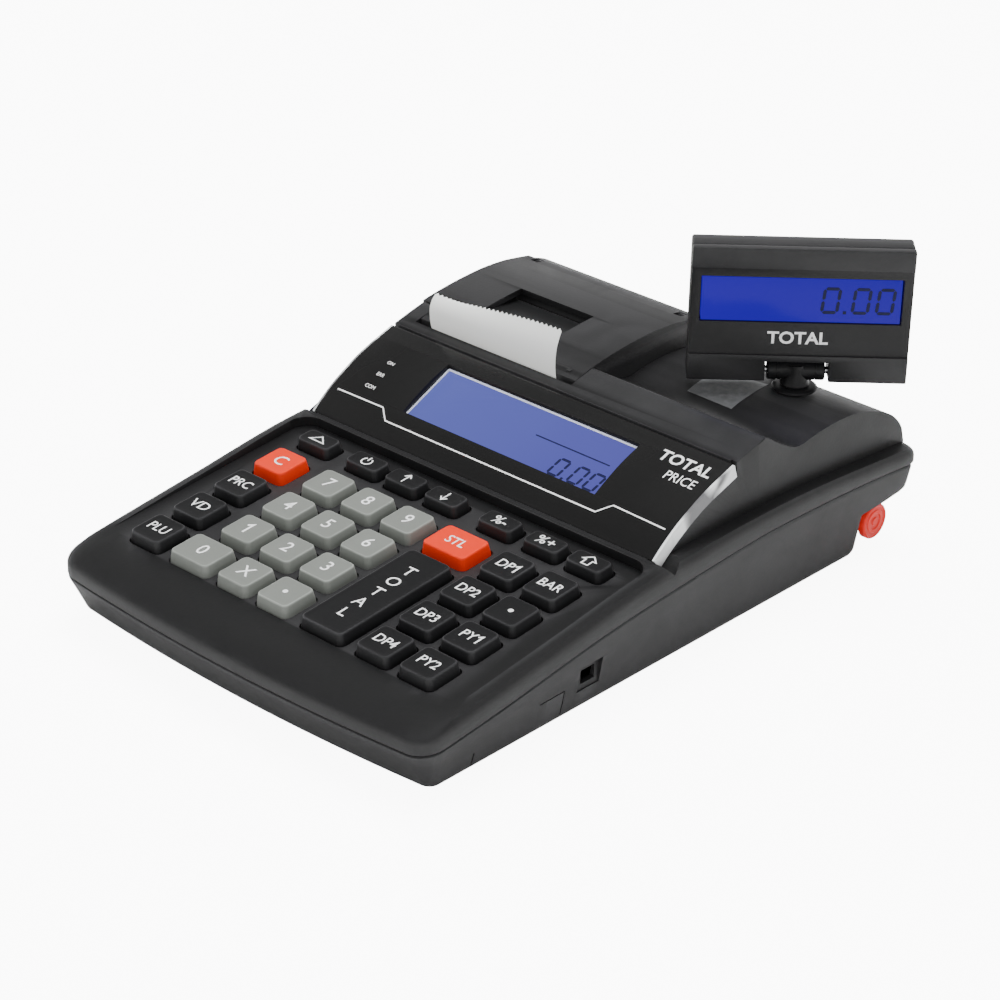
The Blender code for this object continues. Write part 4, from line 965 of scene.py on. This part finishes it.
def lens_ribbon(points, width, lift=0.03):
    """Printed line that follows the lens through (x, y) points."""
    bm = bmesh.new()
    for (x0, y0), (x1, y1) in zip(points, points[1:]):
        steps = max(2, int(math.hypot(x1 - x0, y1 - y0) / 2))
        run = Vector((x1 - x0, y1 - y0)).normalized()
        side = Vector((-run.y, run.x)) * width / 2
        rows = []
        for k in range(steps + 1):
            at = Vector((x0, y0)).lerp(Vector((x1, y1)), k / steps)
            pair = []
            for s in (-1, 1):
                for rise in (lift, lift + 0.06):
                    y, z, angle = lens_place(at.y + s * side.y, rise)
                    pair.append(bm.verts.new((at.x + s * side.x, y, z)))
            rows.append(pair)
        for a, b in zip(rows, rows[1:]):
            for i, j in ((0, 1), (1, 3), (3, 2), (2, 0)):
                bm.faces.new((a[i], a[j], b[j], b[i]))
        for end in (rows[0], rows[-1]):
            bm.faces.new((end[0], end[1], end[3], end[2]))
    return bm


def lens_print(bm, centre):
    """Lays a flat drawing, made about its middle, on the lens."""
    for vert in bm.verts:
        y, z, angle = lens_place(centre[1] + vert.co.y * math.cos(math.radians(22)), vert.co.z + 0.05)
        vert.co = (centre[0] + vert.co.x, y, z)
    return bm


def lens():
    inner = lowered(LENS_LINE, LENS_T)
    plate = work("plate", profile(LENS_LINE + inner[::-1], (-LENS_HALF + 0.9, LENS_HALF - 0.9)))
    cut(plate, block((-42.7, 42.7), (72.3, 94.4), (30.0, 70.0)))
    soften(plate, 0.25, 2, 50.0)
    finish_piece(plate, "lens_plate", LENS_BLACK, "case", ["display_lens"], sharp=30.0)
    for sx, label in ((-1, "left"), (1, "right")):
        xs = sorted((sx * (LENS_HALF - 2.1), sx * LENS_HALF))
        outline = lowered(LENS_LINE, 0.15) + lowered(LENS_LINE, LENS_SKIRT)[::-1]
        flank = work("flank", profile(outline, xs))
        cut(flank, profile(LENS_LINE + lowered(LENS_LINE, LENS_T + 0.05)[::-1],
                           sorted((sx * 60.0, sx * (LENS_HALF - 0.95)))))
        soften(flank, 0.3, 2, 50.0)
        finish_piece(flank, "lens_flank_" + label, CLEAR_EDGE_PAINTED_GLINTS, "case", (), sharp=40.0)
    lip = [LENS_LINE[0], LENS_LINE[1], lowered(LENS_LINE, 1.0)[1], lowered(LENS_LINE, 1.2)[0]]
    lip = [(y - 0.05, z - 0.03) for y, z in lip]
    make("lens_lower_edge", profile(lip, (-LENS_HALF + 1.2, LENS_HALF - 1.2)), LENS_BLACK, "case", ())
    line = [(-72.3, 70.8), (-50.8, 71.0), (-46.6, 67.7), (46.9, 67.9), (51.3, 71.5), (73.1, 71.1)]
    make("lens_border", lens_ribbon(line, 0.42), INK, "case")
    marks = []
    for label, centre in (("ON", (-61.6, 85.6)), ("ERR", (-61.4, 80.4)), ("COM", (-61.4, 75.4))):
        marks.append(lens_print(lettering(label, 2.0, Matrix.Identity(4)), centre))
    word = lens_print(lettering("TOTAL", 6.6, Matrix.Identity(4), bold=0.12), (62.0, 93.6))
    lower = lens_print(lettering("PRICE", 5.4, Matrix.Identity(4), narrow=0.9), (65.0, 87.2))
    make("lens_print", joined(marks + [word, lower]), INK, "case")


def segment_digits(text, height, matrix, thick=0.06):
    """Seven-segment figures, right-aligned, as on a segment panel."""
    lit = {"0": "abcdef", "1": "bc", "2": "abged", "3": "abgcd", "5": "afgcd", "8": "abcdefg"}
    wide, bar, lean = height * 0.52, height * 0.12, 0.1
    bars = {"a": ((0, 1), (1, 1)), "b": ((1, 1), (1, 0.5)), "c": ((1, 0.5), (1, 0)), "d": ((1, 0), (0, 0)),
            "e": ((0, 0), (0, 0.5)), "f": ((0, 0.5), (0, 1)), "g": ((0, 0.5), (1, 0.5))}
    parts = []
    right = 0.0
    for letter in reversed(text):
        if letter == ".":
            parts.append(slab([[(right, 0), (right + bar, 0), (right + bar, bar), (right, bar)]], thick))
            right -= bar * 1.8
            continue
        right -= wide
        for name in lit[letter]:
            (u0, v0), (u1, v1) = bars[name]
            a = Vector((right + u0 * wide, v0 * (height - bar) + bar / 2))
            b = Vector((right + u1 * wide, v1 * (height - bar) + bar / 2))
            run = (b - a).normalized() * bar * 0.62
            a, b = a + run, b - run
            side = Vector((-run.y, run.x)).normalized() * bar / 2
            tip = run.normalized() * bar / 2
            shape = [a - tip, a + side, b + side, b + tip, b - side, a - side]
            parts.append(slab([[(p.x + lean * p.y, p.y) for p in shape]], thick))
        right -= bar * 2.6
    bm = joined(parts)
    bm.transform(matrix)
    return bm


def operator_panel():
    """Lit panel just under the window, with its frame and figures."""
    a, b = Vector((72.2, 42.9)), Vector((94.5, 53.2))
    tilt = math.atan2(b.y - a.y, b.x - a.x)
    mid = (a + b) / 2
    depth = (b - a).length
    place = Matrix.Translation((0, mid.x, mid.y)) @ Matrix.Rotation(tilt, 4, "X")
    panel = soft_block((-42.6, 42.6), (-depth / 2, depth / 2), (-2.4, 0.0), 0.2)
    make("operator_panel", panel, PANEL_BLUE, "case", ["operator_lcd"], place)
    outer = rounded(85.2, depth, 0.6)
    inner = rounded(83.8, depth - 1.5, 0.5)
    make("panel_frame", slab([outer, inner], 0.3, Matrix.Translation((0, 0, 0.15))), FRAME_WHITE, "case",
         (), place)
    figures = segment_digits("0.00", 8.0, Matrix.Translation((39.5, -depth / 2 + 1.8, 0.05)))
    dash = slab([[(6.0, -0.25), (38.0, -0.25), (38.0, 0.25), (6.0, 0.25)]], 0.06,
                Matrix.Translation((0, 1.6, 0.05)))
    make("panel_figures", joined([figures, dash]), SEGMENT, "case", (), place)


# ---- printer -----------------------------------------------------------------------------------
def lid():
    """Arched lid with a sunk finger catch, carrying the platen on two arms."""
    y, z = LID_PIVOT
    tongue = 117.0
    top = fine(LID_TOP, 1.6)
    outline = [(LID_FRONT_Y, 55.8)] + top + arc(LID_PIVOT, 2.2, 90, 0, 6)
    outline += [(y + 1.8, z - 2.0), (y + 1.8, LID_SKIRT_Z), (tongue, LID_SKIRT_Z), (tongue, 55.8)]
    body = work("lid", profile(outline, LID_X))
    soften(body, 0.7, 3, 50.0)
    reach = y - (tongue - GAP)
    corner = [(y - reach * math.cos(math.radians(a)), z - reach * math.sin(math.radians(a)))
              for a in (0, 4, 8, 12, 16)]
    corner += [(corner[-1][0], 30.0), (100.0, 30.0), (100.0, 80.0), (corner[0][0], 80.0)]
    inner_x = (LID_X[0] + LID_WALL, LID_X[1] - LID_WALL)
    inside = [(LID_LIP_Y, 30.0), (LID_LIP_Y, LID_LIP_Z)]
    inside += [(a, b - LID_WALL) for a, b in top if a > LID_LIP_Y]
    inside += [(167.4, 60.5), (167.4, 30.0)]
    cut(body, profile(inside, inner_x), block(inner_x, (160.0, 180.0), (30.0, z - 2.3)),
        profile(corner, (-90.0, LID_TONGUE_X)))
    floor = [(120.0, 61.0), (126.0, 61.8), (143.0, 59.9), (145.2, 62.8), (145.2, 58.2), (143.0, 57.9),
             (126.0, 59.6), (120.0, 59.6)]
    add(body, profile(floor, (-57.0, -18.2)))
    scoop = [(143.2, 59.9), (143.2, 70.0), (122.0, 70.0), (122.0, 62.4), (125.0, 62.0), (130.0, 61.3)]
    cut(body, profile(scoop, (-54.5, -20.8)))
    for x in ((-72.3, -68.9), (-5.7, -2.3)):
        cut(body, block(x, (y - 3.0, 180.0), (30.0, 80.0)))
    for x in ((-68.2, -66.6), (-4.4, -2.8)):
        add(body, soft_block(x, (110.6, 116.4), (47.6, 60.4), 0.3))
    cut(body, rod((-70.0, *PLATEN), (-2.0, *PLATEN), 1.8, 0.1, 24),
        rod((-74.0, y, z), (-0.4, y, z), 1.3, 0.1, 24))
    finish_piece(body, "lid_shell", CASE, "lid", ["printer_lid"], sharp=32.0)


def receipt():
    """Paper strip from the roll round the platen, curling back over the slot."""
    hidden = [(ROLL[0] - ROLL_R - 0.4, 36.0), (121.5, 42.6), (117.0, 45.2)]
    hidden += arc(PLATEN, 4.55, -80, -168, 8) + [(107.4, 54.5)]
    left = hidden + [(106.5, 57.1), (105.4, 60.4), (104.9, 63.6), (104.9, 66.8), (105.9, 69.2),
                     (107.4, 70.8)]
    right = hidden + [(106.6, 57.4), (106.0, 60.8), (105.8, 64.4), (106.0, 67.6), (106.7, 71.0),
                      (108.4, 74.8)]
    left, right = through(left, 4), through(right, 4)
    columns = 58
    bm = bmesh.new()
    rows = []
    last = len(left) - 1
    for k, (a, b) in enumerate(zip(left, right)):
        row = []
        for c in range(columns + 1):
            t = c / columns
            at = a.lerp(b, t * t * (3 - 2 * t))
            if k == last and c % 2:
                at = at + (at - left[last - 1].lerp(right[last - 1], t)).normalized() * 0.8
            row.append(bm.verts.new((PAPER_X[0] + (PAPER_X[1] - PAPER_X[0]) * t, at.x, at.y)))
        rows.append(row)
    for low, high in zip(rows, rows[1:]):
        for c in range(columns):
            bm.faces.new((low[c], low[c + 1], high[c + 1], high[c]))
    sheet = work("strip", bm)
    mod = sheet.modifiers.new("thickness", "SOLIDIFY")
    mod.thickness = 0.12
    settle(sheet)
    finish_piece(sheet, "receipt_strip", PAPER, "case", ["receipt_paper"], sharp=60.0)

    def front_of_paper(bm_text, u, s):
        """Lays print on the paper's front, u along its width and s steps back from its end."""
        for vert in bm_text.verts:
            x = u + vert.co.x
            t = min(max((x - PAPER_X[0]) / (PAPER_X[1] - PAPER_X[0]), 0), 1)
            t = t * t * (3 - 2 * t)
            want = s - vert.co.y
            k = last
            while k > 1:
                here, before = left[k].lerp(right[k], t), left[k - 1].lerp(right[k - 1], t)
                step = (here - before).length
                if want <= step:
                    break
                want -= step
                k -= 1
            run = (before - here).normalized()
            at = here + run * want
            out = Vector((run.y, -run.x)) * (0.1 + vert.co.z)
            vert.co = (x, at.x + out.x, at.y + out.y)
        return bm_text

    words = (("STORE RECEIPT", 4.2), ("ITEM 1   0.00", 6.7), ("ITEM 2   0.00", 9.2), ("TOTAL   0.00", 11.7))
    lines = [front_of_paper(lettering(text, 2.3, Matrix.Identity(4), 0.03, 0.75), -27.0, s)
             for text, s in words]
    make("receipt_print", joined(lines), PRINT, "case")


def mechanism():
    """Platen, gears, roll and pins that show with the lid open."""
    make("platen", rod((-60.5, *PLATEN), (-6.5, *PLATEN), 4.2, 0.3), RUBBER, "platen", ())
    shaft = turned((-68.6, *PLATEN), (-2.4, *PLATEN), [(0, 1.2), (0.3, 1.5), (65.9, 1.5), (66.2, 1.2)], 32)
    make("platen_shaft", shaft, STEEL, "platen", ["platen_roller"])
    roll = work("roll", turned((PAPER_X[0], *ROLL), (PAPER_X[1], *ROLL),
                               [(0, 18.3), (0.2, 18.5), (56.8, 18.5), (57.0, 18.3)], 96))
    cut(roll, rod((PAPER_X[0] - 2, *ROLL), (PAPER_X[1] + 2, *ROLL), 6.0, 0.1, 48))
    finish_piece(roll, "roll_of_paper", PAPER, "roll", ["paper_roll"], sharp=40.0)
    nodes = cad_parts
    for node, finish in (("platen_gear", NYLON), ("drive_gear", NYLON), ("paper_motor", STEEL),
                         ("print_head", STEEL), ("printer_frame", STEEL), ("lid_hinge_pin", STEEL),
                         ("tear_bar", STEEL), ("key_mat", RUBBER), ("main_board", BOARD),
                         ("battery_pack", WRAP), ("rear_ports", DARK), ("display_hinge_pin", STEEL)):
        mesh = nodes[node].data
        mesh.materials.clear()
        mesh.materials.append(finish)


# ---- customer display ------------------------------------------------------------------------------
def display_frame():
    return Matrix.Translation((*DISPLAY_AXIS, 0.0)) @ Matrix.Rotation(DISPLAY_YAW, 4, "Z")


def customer_display():
    place = display_frame()
    half = DISPLAY_HALF
    low, high = DISPLAY_Z
    notch_x = 10.65
    notch = (-notch_x, notch_x), (-20.0, 20.0), (low - 5.0, 65.7)
    front = work("front", soft_block((-half, half), (-5.5, -2.15), (low, high), 0.55, 3))
    cut(front, block((-half - 1, half + 1), (-20.0, -4.5), (low + 9.4, high - 7.2)),
        block((-33.4, 33.4), (-20.0, 20.0), (low + 21.0, high - 10.5)), block(*notch))
    soften(front, 0.18, 2, 50.0)
    finish_piece(front, "display_bezel", CASE, "display", ["customer_display_front"], place,
                 35.0)
    rear = work("rear", soft_block((-half, half), (-1.85, 6.5), (low, high), 0.9, 3))
    cut(rear, block((-half + 3, half - 3), (-4.0, 4.5), (low + 12.0, high - 4)), block(*notch))
    for k in range(7):
        z = low + 16.0 + 2.6 * k
        cut(rear, block((-14.0, 14.0), (5.9, 8.0), (z, z + 1.0)))
    for x in (-half + 5.0, half - 5.0):
        for z in (low + 5.0, high - 5.0):
            cut(rear, rod((x, 5.6, z), (x, 8.0, z), 1.8, 0.1, 24))
    soften(rear, 0.15, 1, 50.0)
    finish_piece(rear, "display_back", CASE, "display", ["customer_display_rear"], place,
                 35.0)
    make("customer_panel", soft_block((-32.9, 32.9), (-4.1, 1.0), (low + 21.3, high - 10.8), 0.15),
         DISPLAY_BLUE,
         "display", ["customer_lcd"], place)
    face = place @ Matrix.Translation((0, -4.16, 0)) @ Matrix.Rotation(math.pi / 2, 4, "X")
    figures = segment_digits("0.00", 9.6, Matrix.Translation((29.8, low + 24.4, 0.0)))
    make("customer_figures", figures, SEGMENT, "display", (), face)
    label = lettering("TOTAL", 6.0, Matrix.Translation((-0.5, low + 15.4, 0.0)), 0.06, 1.05, 0.14)
    bezel_face = place @ Matrix.Translation((0, -4.53, 0)) @ Matrix.Rotation(math.pi / 2, 4, "X")
    make("display_label", label, INK, "display", (), bezel_face)


def display_mount():
    x, y = DISPLAY_AXIS
    foot = turned((x, y, DECK_Z - 6.6), (x, y, DECK_Z + 2.0),
                  [(0.0, 3.4), (7.5, 3.4), (7.5, 7.6), (7.8, 7.8), (8.1, 7.6), (8.45, 7.0), (8.6, 6.4)], 64)
    make("foot_disc", foot, DARK, "case", ["display_foot"], sharp=40.0)
    post = turned((x, y, DECK_Z + 2.4), (x, y, BARREL_Z),
                  [(0, 4.9), (0.4, 5.0), (1.4, 4.5), (5.0, 3.9), (7.5, 3.8)], 48)
    stem = work("stem", post)
    place = display_frame()
    barrel = turned((-9.65, 0, BARREL_Z), (9.65, 0, BARREL_Z),
                    [(0, 3.1), (0.4, 3.5), (3.0, 3.5), (3.0, 3.3), (3.5, 3.3), (3.5, 3.5), (15.8, 3.5),
                     (15.8, 3.3),
                     (16.3, 3.3), (16.3, 3.5), (18.9, 3.5), (19.3, 3.1)], 48)
    barrel.transform(place)
    bore = rod((-12, 0, BARREL_Z), (12, 0, BARREL_Z), 1.5, 0.1, 24)
    bore.transform(place)
    add(stem, barrel)
    cut(stem, bore)
    finish_piece(stem, "stem_and_barrel", DARK, "swivel", ["display_stem"], sharp=35.0)
    z = DECK_Z
    route = [(x - 10.5, y + 3.0, z - 3.0), (x - 11.2, y + 2.2, z + 1.1), (x - 11.0, y + 0.2, z + 2.6),
             (x - 9.2, y - 1.8, z + 3.0), (x - 6.8, y - 2.0, z + 2.9)]
    curve = bpy.data.curves.new("lead", "CURVE")
    curve.dimensions = "3D"
    curve.bevel_depth = 0.6
    curve.bevel_resolution = 3
    curve.use_fill_caps = True
    spline = curve.splines.new("POLY")
    points = through(route, 8)
    spline.points.add(len(points) - 1)
    for point, at in zip(spline.points, points):
        point.co = (*at, 1.0)
    make("display_lead", from_curve(curve), RUBBER, "case", ["display_cable"])


def small_pieces():
    """Seal with its lug, and the deck sticker."""
    y, z = 178.5, 8.6
    disc = turned((75.2, y, z), (78.2, y, z),
                  [(0, 6.0), (0.4, 6.4), (2.5, 6.4), (2.9, 6.1), (3.0, 5.7), (2.7, 5.3),
                                               (2.7, 4.3), (3.0, 4.0), (3.0, 3.0), (2.6, 2.7), (2.6, 1.6),
                                               (3.0, 1.3)])
    make("seal_disc", disc, SEAL, "case", ["red_seal"], sharp=40.0)
    make("seal_lug", joined([soft_block((72.4, 74.6), (172.0, y + 2.4), (z - 2.4, z + 2.4), 0.4),
                             rod((75.6, y, z), (74.2, y, z), 2.4)]), SEAL, "case", ())
    corners = ((24.4, 139.9), (43.6, 139.6), (42.1, 161.2), (22.7, 157.3))
    bm = bmesh.new()
    grid = []
    for i in range(13):
        row = []
        for j in range(13):
            a = Vector(corners[0]).lerp(Vector(corners[1]), i / 12)
            b = Vector(corners[3]).lerp(Vector(corners[2]), i / 12)
            at = a.lerp(b, j / 12)
            row.append(bm.verts.new((at.x, at.y, curve_at(DECK, at.y) + 0.04)))
        grid.append(row)
    for a, b in zip(grid, grid[1:]):
        for j in range(12):
            bm.faces.new((a[j], b[j], b[j + 1], a[j + 1]))
    sticker = work("sticker", bm)
    mod = sticker.modifiers.new("film", "SOLIDIFY")
    mod.thickness = 0.08
    mod.offset = 1.0
    settle(sticker)
    finish_piece(sticker, "deck_sticker", FOIL, "case", sharp=40.0)


def repeated_pieces():
    """Screw heads under the case and grip pips on the battery door."""
    heads = []
    for y in (-12.0, 144.0):
        row = row_of(STEEL, Count=2, Pitch=104.0, Sides=20, Foot_radius=3.0, Top_radius=2.6, Height=1.0)
        row.transform(Matrix.Translation((-52.0, y, -0.1)) @ Matrix.Rotation(math.pi, 4, "X"))
        heads.append(row)
    make("base_screws", joined(heads), STEEL, "case")
    pips = []
    for k in range(5):
        row = row_of(DARK, Count=16, Pitch=3.0, Sides=10, Foot_radius=0.9, Top_radius=0.6, Height=0.8)
        row.transform(Matrix.Translation((-22.5, 60.0 + 3.0 * k, -0.3)) @ Matrix.Rotation(math.pi, 4, "X"))
        pips.append(row)
    make("base_grip_pips", joined(pips), DARK, "case")


# ---- stage -------------------------------------------------------------------------------------------
def studio():
    floor = bpy.data.meshes.new("floor")
    bm = bmesh.new()
    bmesh.ops.create_grid(bm, x_segments=2, y_segments=2, size=4.0)
    bm.to_mesh(floor)
    bm.free()
    floor_obj = bpy.data.objects.new("floor", floor)
    bpy.context.scene.collection.objects.link(floor_obj)
    pale = moulded("pale floor", (0.9, 0.9, 0.9), 0.75, 60.0, 0.00001, 3.0, 0.01, 1.0)
    seen = pale.node_tree.nodes.new("ShaderNodeLightPath").outputs["Is Camera Ray"]
    bsdf = pale.node_tree.nodes["Principled BSDF"]
    bsdf.inputs["Emission Color"].default_value = (1.0, 1.0, 1.0, 1.0)
    lift = pale.node_tree.nodes.new("ShaderNodeMath")
    lift.operation = "MULTIPLY"
    lift.inputs[1].default_value = 9.0
    pale.node_tree.links.new(seen, lift.inputs[0])
    pale.node_tree.links.new(lift.outputs[0], bsdf.inputs["Emission Strength"])
    floor.materials.append(pale)
    for name, place, aim, size, watts, shiny in (
            ("overhead", (-0.15, 0.35, 1.3), (0, 0.02, 0.04), 0.9, 30.0, False),
            ("front_fill", (1.1, -0.9, 0.9), (0, 0, 0.03), 0.8, 11.0, False),
            ("left_fill", (-1.4, -0.5, 0.8), (0, 0, 0.05), 0.8, 9.0, False)):
        lamp = bpy.data.lights.new(name, "AREA")
        lamp.size = size
        lamp.energy = watts
        obj = bpy.data.objects.new(name, lamp)
        obj.location = place
        obj.rotation_euler = (Vector(aim) - Vector(place)).to_track_quat("-Z", "Y").to_euler()
        obj.visible_glossy = shiny
        bpy.context.scene.collection.objects.link(obj)
    world = bpy.data.worlds.new("studio")
    world.use_nodes = True
    tree = world.node_tree
    split = tree.nodes.new("ShaderNodeSeparateXYZ")
    tree.links.new(tree.nodes.new("ShaderNodeTexCoord").outputs["Generated"], split.inputs[0])
    ramp = tree.nodes.new("ShaderNodeValToRGB")
    stops = ramp.color_ramp.elements
    stops[0].position, stops[0].color = 0.0, (1.0, 1.0, 1.0, 1.0)
    stops[1].position, stops[1].color = 1.0, (0.3, 0.3, 0.3, 1.0)
    for position, level in ((0.22, 0.9), (0.42, 0.16), (0.7, 0.12)):
        stop = stops.new(position)
        stop.color = (level, level, level, 1.0)
    tree.links.new(split.outputs["Z"], ramp.inputs["Fac"])
    tree.links.new(ramp.outputs["Color"], tree.nodes["Background"].inputs["Color"])
    tree.nodes["Background"].inputs["Strength"].default_value = 1.45
    bpy.context.scene.world = world


def camera():
    azimuth, elevation, roll = (math.radians(a) for a in CAMERA_ANGLES)
    back = Vector((math.sin(azimuth) * math.cos(elevation), -math.cos(azimuth) * math.cos(elevation),
                   math.sin(elevation)))
    right = Vector((math.cos(azimuth), math.sin(azimuth), 0.0))
    up = back.cross(right)
    right, up = (right * math.cos(roll) + up * math.sin(roll), up * math.cos(roll) - right * math.sin(roll))
    data = bpy.data.cameras.new("view")
    data.lens = CAMERA_LENS
    data.sensor_width = 36.0
    data.clip_end = 20.0
    obj = bpy.data.objects.new("view", data)
    turn = Matrix((right, up, back)).transposed().to_4x4()
    obj.matrix_world = Matrix.Translation((0.59579, -0.65574, 0.48805)) @ turn
    bpy.context.scene.collection.objects.link(obj)
    bpy.context.scene.camera = obj


upper_cover()
lower_shell()
keyboard()
lens()
operator_panel()
lid()
receipt()
mechanism()
customer_display()
display_mount()
small_pieces()
repeated_pieces()
studio()
camera()
